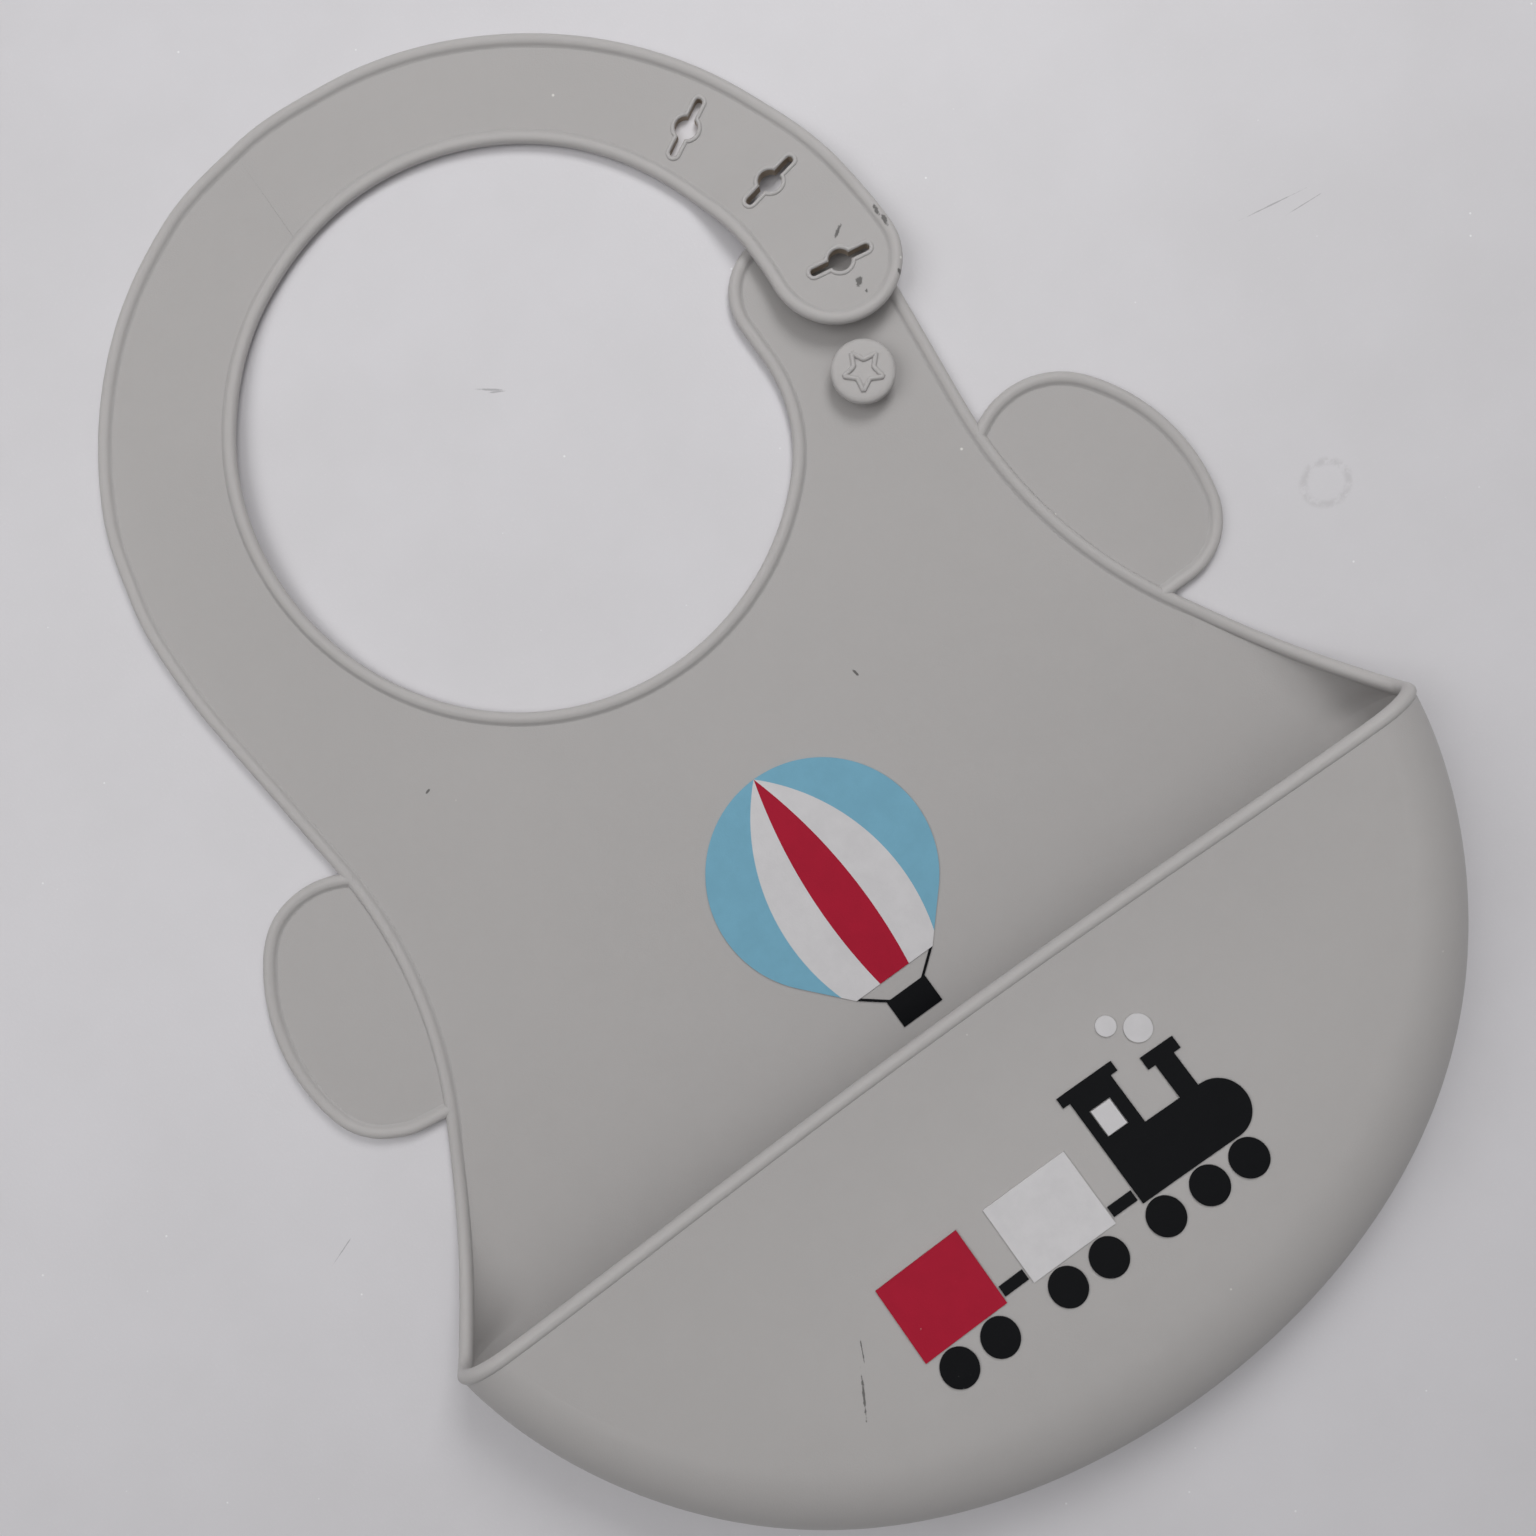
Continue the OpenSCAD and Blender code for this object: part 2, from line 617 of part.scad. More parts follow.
module strap_back() {
    color(silicone) lean() intersection() {
        sheet(strap_edges);
        moving_side(strap_fold, fold_r);
        fixed_side(end_fold);
    }
}

module strap_back_bead() {
    color(silicone) lean() cut_beads([loop_right, neck_top_right]) intersection() {
        moving_side(strap_fold, bead_fold_r);
        fixed_side(end_fold);
    }
}

module keyhole(extra, h) {
    cylinder(h = h, d = slot_hole_d + 2 * extra);
    for (s = [-1, 1])
        translate([s * (slot_len - slot_w) / 2, 0, 0])
            cylinder(h = h, d = slot_w + 2 * extra, $fn = 32);
    translate([-(slot_len - slot_w) / 2, -slot_w / 2 - extra, 0])
        cube([slot_len - slot_w, slot_w + 2 * extra, h]);
}

module at_slots() {
    for (i = [0:slot_count - 1]) {
        a = slot_first_angle + i * slot_pitch_angle;
        p = slot_c + slot_ring_r * dir(a);
        translate([p[0], p[1], 0]) rotate([0, 0, a]) children();
    }
}

module strap_end() {
    color(silicone) lean() difference() {
        union() {
            intersection() {
                sheet(strap_edges);
                moving_side(end_fold, fold_r);
            }
            at_slots() keyhole(slot_rim_w, sheet_t + slot_rim_h);
        }
        at_slots() translate([0, 0, -1]) keyhole(0, sheet_t + 2);
    }
}

module strap_end_bead() {
    color(silicone) lean() {
        bead_arc(end_round);
        cut_beads([loop_right, neck_top_right]) moving_side(end_fold, bead_fold_r);
    }
}

// ---- stud ----

module star(r) {
    polygon([for (i = [0:9]) (i % 2 == 0 ? r : r * 0.45) * dir(90 + 36 * i)]);
}

module stud() {
    rim = min(0.5, head_t / 3);
    color(silicone) translate([stud_x, stud_y, sheet_t]) {
        cylinder(h = stem_h, d = stem_d);
        translate([0, 0, stem_h]) {
            cylinder(h = rim, d1 = head_d - 2 * rim, d2 = head_d);
            translate([0, 0, rim]) cylinder(h = head_t - 2 * rim, d = head_d);
            translate([0, 0, head_t - rim]) cylinder(h = rim, d1 = head_d, d2 = head_d - 2 * rim);
        }
        translate([0, 0, stem_h + head_t]) linear_extrude(star_h) difference() {
            star(star_r);
            star(star_r - 2 * star_line);
        }
    }
}

// ---- prints ----

mouth_y = balloon_y - balloon_r * 1.05;
mouth_a = -42;
mouth_drop = balloon_y + balloon_r * sin(mouth_a) - mouth_y;
mouth_w = 2 * (balloon_r * cos(mouth_a) + mouth_drop * tan(mouth_a));
basket_w = balloon_r * 0.4;
basket_h = balloon_r * 0.26;
basket_gap = balloon_r * 0.16;
cord_w = 0.8;

module balloon_envelope() {
    translate([0, balloon_y]) circle(balloon_r);
    polygon([
        [-mouth_w / 2, mouth_y], [mouth_w / 2, mouth_y],
        [balloon_r * cos(mouth_a), balloon_y + balloon_r * sin(mouth_a)],
        [-balloon_r * cos(mouth_a), balloon_y + balloon_r * sin(mouth_a)]
    ]);
}

// Pointed oval between the balloon's top and a point below its mouth, w wide on each side
module gore(w) {
    half = balloon_r * 1.37;
    r = (half * half + w * w) / (2 * w);
    intersection_for (s = [-1, 1])
        translate([s * (r - w), balloon_y + balloon_r - half]) circle(r, $fn = 180);
}

module chest_ink(c) {
    color(c) translate([0, 0, sheet_t]) linear_extrude(ink_t) children();
}

module balloon_blue_ink() {
    chest_ink(ink_blue) difference() {
        balloon_envelope();
        gore(balloon_r * 0.58);
    }
}

module balloon_white_ink() {
    chest_ink(ink_white) difference() {
        intersection() {
            balloon_envelope();
            gore(balloon_r * 0.58);
        }
        gore(balloon_r * 0.2);
    }
}

module balloon_red_ink() {
    chest_ink(ink_red) intersection() {
        balloon_envelope();
        gore(balloon_r * 0.2);
    }
}

module balloon_black_ink() {
    top = mouth_y - basket_gap;
    chest_ink(ink_black) {
        translate([-basket_w / 2, top - basket_h]) square([basket_w, basket_h]);
        for (s = [-1, 1])
            polygon([
                [s * mouth_w / 2, mouth_y], [s * (mouth_w / 2 - cord_w), mouth_y],
                [s * (basket_w / 2 - cord_w), top], [s * basket_w / 2, top]
            ]);
    }
}

// Thin skin that follows the pocket's front wall under the train
skin_lift = 0.08;
skin_cols = 20;
skin_rows = 12;
unit_w = train_w / 76;

module pocket_ink(c) {
    x0 = -train_w * 0.56;
    x1 = train_w * 0.56;
    y0 = -train_drop - 0.3 * train_w;
    y1 = -train_drop + 0.34 * train_w;
    n = skin_cols + 1;
    m = skin_rows + 1;
    points = [for (o = [skin_lift, skin_lift + ink_t]) for (i = [0:skin_cols]) for (j = [0:skin_rows])
        let (x = x0 + (x1 - x0) * i / skin_cols, y = y0 + (y1 - y0) * j / skin_rows)
        [x, y, front_z(x, y) + o]];
    function at(i, j, up) = (up * n + i) * m + j;
    faces = concat(
        [for (i = [0:n - 2]) for (j = [0:m - 2])
            each triangles(at(i, j, 1), at(i, j + 1, 1), at(i + 1, j + 1, 1), at(i + 1, j, 1))],
        [for (i = [0:n - 2]) for (j = [0:m - 2])
            each triangles(at(i, j, 0), at(i + 1, j, 0), at(i + 1, j + 1, 0), at(i, j + 1, 0))],
        [for (i = [0:n - 2]) each triangles(at(i, 0, 0), at(i, 0, 1), at(i + 1, 0, 1), at(i + 1, 0, 0))],
        [for (i = [0:n - 2])
            each triangles(at(i, m - 1, 0), at(i + 1, m - 1, 0), at(i + 1, m - 1, 1), at(i, m - 1, 1))],
        [for (j = [0:m - 2]) each triangles(at(0, j, 0), at(0, j + 1, 0), at(0, j + 1, 1), at(0, j, 1))],
        [for (j = [0:m - 2])
            each triangles(at(n - 1, j, 0), at(n - 1, j, 1), at(n - 1, j + 1, 1), at(n - 1, j + 1, 0))]
    );
    color(c) intersection() {
        polyhedron(points, faces, convexity = 6);
        translate([0, -train_drop, 0]) linear_extrude(3 * roll_r) scale(unit_w) children();
    }
}

// The train is drawn 76 long about its own middle, with the wheels' underside at -17.
wheel_r = 3.6;
wagon_w = 18;
wagon_h = 15;
floor_y = -9;
wagon_x = [-36, -12];
wheel_x = [-31.5, -22.5, -7.5, 1.5, 14, 23.5, 32];

module box_2d(x0, x1, y0, y1) {
    translate([x0, y0]) square([x1 - x0, y1 - y0]);
}

module train_black_ink() {
    pocket_ink(ink_black) {
        for (x = wheel_x)
            translate([x, floor_y - 0.4 - wheel_r]) circle(wheel_r, $fn = 24);
        for (x = wagon_x)
            box_2d(x + wagon_w + 0.4, x + wagon_w + 5.6, floor_y + 1, floor_y + 3);
        difference() {
            box_2d(12, 21, floor_y, 12);
            box_2d(14, 18.5, 3.5, 9);
        }
        box_2d(21, 33, floor_y, 2);
        translate([33, (floor_y + 2) / 2]) circle((2 - floor_y) / 2, $fn = 32);
        box_2d(10.5, 22.5, 12, 14);
        box_2d(28.5, 32.5, 2, 9);
        box_2d(27, 34, 9, 11.5);
    }
}

module train_white_ink() {
    pocket_ink(ink_white) {
        box_2d(wagon_x[1], wagon_x[1] + wagon_w, floor_y, floor_y + wagon_h);
        box_2d(14.2, 18.3, 3.7, 8.8);
        translate([30, 16]) circle(2.6, $fn = 24);
        translate([25.5, 19.5]) circle(1.9, $fn = 24);
    }
}

module train_red_ink() {
    pocket_ink(ink_red) box_2d(wagon_x[0], wagon_x[0] + wagon_w, floor_y, floor_y + wagon_h);
}

chest_panel();
flap_root_left();
flap_root_right();
side_bead_left();
side_bead_right();
neck_bead();
pocket_tray();
pocket_front();
pocket_rim();
balloon_blue_ink();
balloon_white_ink();
balloon_red_ink();
balloon_black_ink();
train_black_ink();
train_white_ink();
train_red_ink();
shoulder_strap();
shoulder_bead();
button_tab();
tab_bead();
stud();
strap_back();
strap_back_bead();
strap_end();
strap_end_bead();
flap_left();
flap_bead_left();
flap_right();
flap_bead_right();
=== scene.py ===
import math
import bpy
import bmesh
from mathutils import Matrix, Vector


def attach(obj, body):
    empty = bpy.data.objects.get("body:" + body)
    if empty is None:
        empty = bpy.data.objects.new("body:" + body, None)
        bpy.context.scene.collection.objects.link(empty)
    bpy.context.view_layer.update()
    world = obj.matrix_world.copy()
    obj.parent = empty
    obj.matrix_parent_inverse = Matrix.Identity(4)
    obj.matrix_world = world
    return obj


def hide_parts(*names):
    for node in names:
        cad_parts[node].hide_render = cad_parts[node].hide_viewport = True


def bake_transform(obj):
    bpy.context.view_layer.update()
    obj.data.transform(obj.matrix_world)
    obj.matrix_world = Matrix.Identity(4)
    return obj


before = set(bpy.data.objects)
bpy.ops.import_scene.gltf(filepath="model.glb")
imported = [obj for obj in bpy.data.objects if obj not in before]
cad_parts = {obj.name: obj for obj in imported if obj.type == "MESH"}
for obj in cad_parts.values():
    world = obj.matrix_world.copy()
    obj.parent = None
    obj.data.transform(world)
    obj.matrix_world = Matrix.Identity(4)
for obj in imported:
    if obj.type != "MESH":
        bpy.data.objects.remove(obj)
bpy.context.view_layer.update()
scene = bpy.context.scene

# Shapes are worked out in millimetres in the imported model's frame, and scaled once at the end.
mm = 0.001
weld = 1e-3  # points nearer than this become one
fineWeld = 1e-4
crisp = math.radians(40)  # edges sharper than this stay crisp
vertical = Vector((0, 0, 1))

# Sheet and bead of every piece
stock = {
    "sheet": 1.8,  # thickness of the sheet
    "tuck": 0.7,  # how far its edge goes into the bead
    "bead": 1.4,  # radius of the lip's round bead
    "beadZ": 1.6,  # height of a flat bead's middle
    "beadHalf": 1.2,  # a flat bead's half width
    "beadOut": 0.2,  # how far it stands out of the edge
    "beadTop": 1.08,  # how far it rises over its middle
    # The sheet's side of a bead: degrees round the lip's one, and a flat one's fillet and its underside
    "roundBack": [132, 147, 165, 190, 215, 245],
    "flatBack": [(-0.72, 0.78), (-0.93, 0.5), (-1.1, 0.32), (-1.45, 0.17), (-1.4, -1.0), (-0.8, -1.3)]
}


def direction(degrees):
    a = math.radians(degrees)
    return Vector((math.cos(a), math.sin(a)))


def smooth(t):
    t = min(1.0, max(0.0, t))
    return t * t * (3 - 2 * t)


def spread(low, high, size):
    n = max(1, round((high - low) / size))
    return [low + (high - low) * i / n for i in range(n + 1)]


def mirrored(p):
    return Vector((-p.x, p.y, p.z))


# Points along arcs (centre, radius, start, end) and lines (start, end), about a step apart
def walk(route, step):
    sameSpot = 0.3
    points = []
    for edge in route:
        if len(edge) == 4:
            centre, radius, start, end = edge
            turns = spread(start, end, math.degrees(step / radius) * (1 if end > start else -1))
            run = [centre + radius * direction(a) for a in turns]
        else:
            run = [edge[0].lerp(edge[1], t) for t in spread(0, 1, step / (edge[1] - edge[0]).length)]
        near = bool(points) and (points[-1] - run[0]).length < sameSpot
        points += run[1:] if near else run
    return points


# The sheet's outward side at each point of an edge walked with the sheet on its right
def outwards(points):
    ends = [points[0]] + points + [points[-1]]
    return [Vector((a.y - b.y, b.x - a.x)).normalized() for a, b in zip(ends, ends[2:])]


# An edge drawn in by the sheet's tuck, so that the bead covers it
def tucked(edge):
    return [p - stock["tuck"] * n for p, n in zip(edge, outwards(edge))]


# Point at height z over a sheet that is raised by a height function, and its upward direction
def raised(height, x, y, z):
    nudge = 0.05
    slopeX = (height(x - nudge, y) - height(x + nudge, y)) / (2 * nudge)
    slopeY = (height(x, y - nudge) - height(x, y + nudge)) / (2 * nudge)
    up = Vector((slopeX, slopeY, 1))
    up.normalize()
    return Vector((x, y, height(x, y))) + z * up, up


# Draws the first row of points, then pulls each further row out of the last.
def loft(bm, rows, ring=False, index=0):
    verts = [bm.verts.new(p) for p in rows[0]]
    pairs = list(zip(verts, verts[1:])) + ([(verts[-1], verts[0])] if ring else [])
    edges = [bm.edges.new(pair) for pair in pairs]
    first = list(edges)
    for row in rows[1:]:
        made = bmesh.ops.extrude_edge_only(bm, edges=edges)["geom"]
        fresh = {g for g in made if isinstance(g, bmesh.types.BMVert)}
        verts = [next(e.other_vert(v) for e in v.link_edges if e.other_vert(v) in fresh) for v in verts]
        edges = [g for g in made if isinstance(g, bmesh.types.BMEdge) and fresh.issuperset(g.verts)]
        for v, p in zip(verts, row):
            v.co = p
        for g in made:
            if isinstance(g, bmesh.types.BMFace):
                g.material_index = index
    return first, edges


# Sweeps a profile of (outwards, up) points along a path that has an up direction at each point.
def sweep(bm, path, ups, profile, ring=False, index=1):
    n = len(path)
    rows = []
    for i, p in enumerate(path):
        before = path[i - 1] if ring or i else p
        after = path[(i + 1) % n] if ring or i < n - 1 else p
        tangent = (after - before).normalized()
        out = ups[i].cross(tangent).normalized()
        up = tangent.cross(out)
        shape = profile(i) if callable(profile) else profile
        rows.append([p + u * out + v * up for u, v in shape])
    ends = loft(bm, rows + rows[:1] if ring else rows, ring=True, index=index)
    for edges in () if ring else ends:
        for face in bmesh.ops.contextual_create(bm, geom=edges)["faces"]:
            face.material_index = index


# Section of a bead: flat for a share of 0, and round, as on the lip, for 1
beadTurns = [-90 + 15 * i for i in range(15)]
roundBead = [stock["bead"] * direction(a) for a in beadTurns + stock["roundBack"]]
flatBead = [
    Vector((stock["beadHalf"] * d.x + stock["beadOut"],
            (stock["beadTop"] if d.y > 0 else stock["bead"]) * d.y))
    for d in (direction(a) for a in beadTurns)
] + [Vector(p) for p in stock["flatBack"]]


def beadProfile(share):
    return [a.lerp(b, share) for a, b in zip(flatBead, roundBead)]


# Section of a fine ridge that lies on a sheet
def ridgeProfile(wide, high):
    return [Vector((wide * c.x, high * c.y)) for c in (direction(a) for a in range(0, 360, 30))]


# Faces with their corners and edges, always in the same order
def parts(faces):
    verts = [v for f in faces for v in f.verts]
    edges = [e for f in faces for e in f.edges]
    return list(dict.fromkeys(verts + edges + list(faces)))


# Cuts flat faces into a grid, so that they can bend.
def gridCut(bm, faces, xs, ys):
    for axis, values in ((0, xs), (1, ys)):
        normal = Vector((1 - axis, axis, 0))
        for value in values:
            cut = bmesh.ops.bisect_plane(
                bm, geom=parts(faces), dist=fineWeld, plane_co=value * normal, plane_no=normal)
            faces = [g for g in cut["geom"] if isinstance(g, bmesh.types.BMFace)]


# Closed outlines filled flat at z 0, with any outline after the first as a hole
def fillOutlines(bm, outlines):
    edges = []
    for points in outlines:
        verts = [bm.verts.new((p[0], p[1], 0)) for p in points]
        edges += [bm.edges.new(pair) for pair in zip(verts, verts[1:] + verts[:1])]
    if len(outlines) == 1:
        return bmesh.ops.contextual_create(bm, geom=edges)["faces"]
    made = bmesh.ops.triangle_fill(bm, edges=edges, use_beauty=True)["geom"]
    return [g for g in made if isinstance(g, bmesh.types.BMFace)]


# Turns all faces so that the first flat one looks down, then thickens them upwards.
def thicken(bm):
    bmesh.ops.remove_doubles(bm, verts=bm.verts, dist=weld)
    bmesh.ops.recalc_face_normals(bm, faces=bm.faces)
    bm.normal_update()
    lowest = max(bm.faces, key=lambda f: (abs(f.normal.z), f.calc_center_median().y))
    if lowest.normal.z > 0:
        bmesh.ops.reverse_faces(bm, faces=bm.faces)
    bmesh.ops.solidify(bm, geom=bm.faces, thickness=stock["sheet"])


def addPiece(name, bm, materials):
    bmesh.ops.recalc_face_normals(bm, faces=bm.faces)
    mesh = bpy.data.meshes.new(name)
    bm.to_mesh(mesh)
    bm.free()
    mesh.transform(Matrix.Scale(mm, 4))
    for polygon in mesh.polygons:
        polygon.use_smooth = True
    mesh.set_sharp_from_angle(angle=crisp)
    for material in materials:
        mesh.materials.append(material)
    piece = bpy.data.objects.new(name, mesh)
    scene.collection.objects.link(piece)
    return piece


class Signal:
    def __init__(self, graph, socket):
        self.graph = graph
        self.socket = socket

    def math(self, operation, *others):
        return self.graph.add("ShaderNodeMath", {"operation": operation}, [self, *others])

    def __add__(self, other):
        return self.math("ADD", other)

    def __sub__(self, other):
        return self.math("SUBTRACT", other)

    def __mul__(self, other):
        return self.math("MULTIPLY", other)

    def __rsub__(self, other):
        return self.graph.add("ShaderNodeMath", {"operation": "SUBTRACT"}, [other, self])

    __radd__ = __add__
    __rmul__ = __mul__

    # Smooth step from 0 at low to 1 at high
    def between(self, low, high):
        settings = {"interpolation_type": "SMOOTHSTEP"}
        return self.graph.add("ShaderNodeMapRange", settings, [self, low, high])


class Graph:
    def __init__(self, owner, coordinates="Object"):
        self.owner = owner
        owner.use_nodes = True
        self.tree = owner.node_tree
        self.tree.nodes.clear()
        self.place = self.add("ShaderNodeTexCoord", output=coordinates)

    # One node, from its type, its settings or ramp stops, and the values or links of its sockets
    def add(self, kind, settings=None, values=(), output=0):
        node = self.tree.nodes.new(kind)
        for key, value in (settings or {}).items():
            if key == "stops":
                for stop, (position, colour) in zip(node.color_ramp.elements, value):
                    stop.position = position
                    stop.color = colour
            else:
                setattr(node, key, value)
        for key, value in values.items() if isinstance(values, dict) else enumerate(values):
            if isinstance(value, Signal):
                self.tree.links.new(value.socket, node.inputs[key])
            else:
                node.inputs[key].default_value = value
        return Signal(self, node.outputs[output]) if node.outputs else None

    def noise(self, scale, detail=2.0, roughness=0.5):
        values = {"Vector": self.place, "Scale": scale, "Detail": detail, "Roughness": roughness}
        return self.add("ShaderNodeTexNoise", None, values)

    # Distance to the nearest of many scattered points
    def scatter(self, scale):
        values = {"Vector": self.place, "Scale": scale}
        return self.add("ShaderNodeTexVoronoi", {"feature": "F1"}, values, output="Distance")

    def mix(self, share, first, second):
        values = {0: share, 6: first, 7: second}
        return self.add("ShaderNodeMix", {"data_type": "RGBA"}, values, output=2)

    # Distance from the middle of a long mark at (x, y) mm, 1 at its edge
    def mark(self, x, y, angle, length, width):
        deep = 10.0  # metres, so that height doesn't count
        values = {
            "Vector": self.place, "Location": (x * mm, y * mm, 0),
            "Rotation": (0, 0, math.radians(angle)), "Scale": (length * mm / 2, width * mm / 2, deep)
        }
        place = self.add("ShaderNodeMapping", {"vector_type": "TEXTURE"}, values)
        return self.add("ShaderNodeVectorMath", {"operation": "LENGTH"}, [place], output="Value")

    # 1 on any of the marks: noise wears their edges away, and inside is where a mark is full
    def worn(self, marks, noise, amount, inside):
        every = None
        for spot in marks:
            near = (self.mark(*spot) + (noise - 0.5) * amount).between(1.15, inside)
            every = near if every is None else every.math("MAXIMUM", near)
        return every

    # Closes a material with its shader's values and its bumps, as (height, distance in metres).
    def finish(self, values, bumps):
        for height, distance in bumps:
            inputs = {"Height": height, "Distance": distance, "Strength": 1.0}
            if "Normal" in values:
                inputs["Normal"] = values["Normal"]
            values = {**values, "Normal": self.add("ShaderNodeBump", None, inputs)}
        shader = self.add("ShaderNodeBsdfPrincipled", None, values)
        self.add("ShaderNodeOutputMaterial", None, {"Surface": shader})
        return self.owner


def srgb(r, g, b):
    line = [c / 255 for c in (r, g, b)]
    return tuple(c / 12.92 if c <= 0.04045 else ((c + 0.055) / 1.055) ** 2.4 for c in line) + (1.0,)


def dimmed(tint, share):
    return tuple(c * share for c in tint[:3]) + (1.0,)


# Matt silicone; its scuffs are x, y, angle, length, width in mm
siliconeLook = {
    "sheet": (181, 178, 177),
    # painted light: the sheet's colour made paler for the beads' lit tops; the button and the slot
    # ridges take it too
    "bead": (188, 185, 184),
    "stainAndShade": (150, 134, 116),  # painted shade: a dark brown on the walls of the slots
    "scuff": (72, 70, 68),
    "dust": (236, 234, 230),
    "patchy": 0.965,  # brightness of its darker patches
    "scuffed": 0.8,
    "dusty": 0.75,
    "roughness": 0.56,
    "bumps": (0.0004, 0.00004, 0.00003),  # heights of its waves, mottle and grain, in metres
    "scuffs": [
        (74.3, 131.9, 32, 2.9, 0.75), (82.3, 130.6, 82, 2.4, 0.9), (82.4, 128.2, 74, 2.2, 1.0),
        (71.5, 121.4, 54, 2.2, 1.3), (78.7, 118.4, 60, 1.3, 0.7), (71.7, 119.2, 54, 1.0, 0.6),
        (-66.6, 181.4, 50, 1.1, 0.5), (-48.2, -43.0, 60, 8.0, 0.5), (-43.8, -36.5, 64, 4.0, 0.3),
        (-52.0, 92.0, 12, 1.6, 0.5), (28.0, 62.0, 100, 1.4, 0.5)
    ]
}


def silicone(name, colourName):
    g = Graph(bpy.data.materials.new(name))
    tint = srgb(*siliconeLook[colourName])
    cloud = g.noise(14.0, 3.0)
    mottle = g.noise(160.0, 4.0, 0.6)
    fine = g.noise(3200.0, 2.0, 0.6)
    shade = (cloud * 0.6 + mottle * 0.4).between(0.3, 0.7)
    colour = g.mix(shade, dimmed(tint, siliconeLook["patchy"]), tint)
    ragged = g.noise(900.0, 3.0, 0.7)
    worn = g.worn(siliconeLook["scuffs"], ragged, 2.4, 0.6)
    colour = g.mix(worn * siliconeLook["scuffed"], colour, srgb(*siliconeLook["scuff"]))
    dust = g.scatter(62.0).between(0.022, 0.010)
    colour = g.mix(dust * siliconeLook["dusty"], colour, srgb(*siliconeLook["dust"]))
    rough = siliconeLook["roughness"] + (mottle - 0.5) * 0.14 + worn * 0.08
    return g.finish(
        {"Base Color": colour, "Roughness": rough, "IOR": 1.41, "Sheen Weight": 0.12,
         "Sheen Roughness": 0.6, "Subsurface Weight": 0.08, "Subsurface Scale": 0.002,
         "Subsurface Radius": (1.0, 0.9, 0.8)},
        zip((cloud, mottle, fine), siliconeLook["bumps"]))


# Printed inks: colour and roughness
inkLook = {
    "blue": ((122, 176, 200), 0.5),
    "white": ((214, 212, 214), 0.5),
    "red": ((172, 26, 52), 0.5),
    "black": ((13, 14, 17), 0.42),
    "speck": (196, 194, 190),
    "patchy": 0.94,
    "worn": 0.35
}


def ink(colourName):
    g = Graph(bpy.data.materials.new("ink_" + colourName))
    shades, roughness = inkLook[colourName]
    tint = srgb(*shades)
    mottle = g.noise(220.0, 4.0, 0.6)
    fine = g.noise(3000.0, 2.0)
    speck = g.noise(700.0, 3.0, 0.7).between(0.74, 0.80)
    colour = g.mix(mottle.between(0.3, 0.7), dimmed(tint, inkLook["patchy"]), tint)
    colour = g.mix(speck * inkLook["worn"], colour, srgb(*inkLook["speck"]))
    return g.finish(
        {"Base Color": colour, "Roughness": roughness + (mottle - 0.5) * 0.2, "IOR": 1.2},
        [(mottle, 0.00003), (fine, 0.00002)])


# Materials in slot order: the sheet, the beads with painted light, the slot walls with painted shade
siliconeSlots = [
    silicone("silicone_sheet", "sheet"), silicone("silicone_bead_lit", "bead"),
    silicone("silicone_slot_shade", "stainAndShade")
]
# Material slot of the slot walls, whose dark brown is painted shade
slotShadeIndex = 2
inks = {colourName: ink(colourName) for colourName in ("blue", "white", "red", "black")}
print("materials made")


# Loop round the neck: two arcs inside, one outside, and how it departs from them
loop = {
    "neckC": Vector((3.6, 137.2)),
    "neckR": 56.114,
    "neckLowC": Vector((2.086, 137.2)),
    "neckLowR": 54.6,
    "outerC": Vector((2.5, 133.5)),
    "outerR": 80.013,
    "cutX": -10.0,  # where the strap's right half begins
    "middleR": 67,  # between the inner edge and the outer one
    # How far the edges stray outwards, as (degrees round the neck, mm)
    "outerDrift": [
        (-16, 0), (10, -0.8), (54, -1.15), (84, -0.6), (99, 0.4), (114, 1.6), (130, 1.9),
        (156, 1.8), (168, 0.9), (182, 0)
    ],
    "innerDrift": [(10, 0), (54, 0.8), (84, 0.8), (118, 0.5), (145, 0)],
    # The left inner edge curls up, most at an angle and less towards the outer edge.
    "curl": 2.3,
    "curlAngle": 160,
    "curlHalf": 52,
    "curlR": 80,
    "curlWide": 25,
    "curlPower": 1.6
}

# Tab that carries the button: a hollow arc beside its arm, and an end with two round corners
tab = {
    "armC": Vector((18.8, 121.11)),
    "armR": 31.4,
    "leftC": Vector((61.1, 128.5)),
    "rightC": Vector((67.0, 128.5)),
    "cornerR": 10.9
}

# Hollow side edge, where a flap joins
waist = {"centre": Vector((165.7, 82.5)), "radius": 92.0}


def stray(points):
    moved = []
    for p in points:
        d = p - loop["neckC"]
        angle = (math.degrees(math.atan2(d.y, d.x)) + 90) % 360 - 90
        steps = loop["outerDrift"] if d.length > loop["middleR"] else loop["innerDrift"]
        shift = 0.0
        for (low, a), (high, b) in zip(steps, steps[1:]):
            if low <= angle <= high:
                shift = a + (b - a) * smooth((angle - low) / (high - low))
        moved.append(p + shift * d.normalized())
    return moved


# Height by which the collar stands off the table
def collarLift(x, y):
    d = Vector((x, y)) - loop["neckC"]
    angle = math.degrees(math.atan2(d.y, d.x)) % 360
    across = min(1.0, max(0.0, (loop["curlR"] - d.length) / loop["curlWide"]))
    around = smooth(1 - abs((angle - loop["curlAngle"]) / loop["curlHalf"]))
    return loop["curl"] * around * across ** loop["curlPower"]


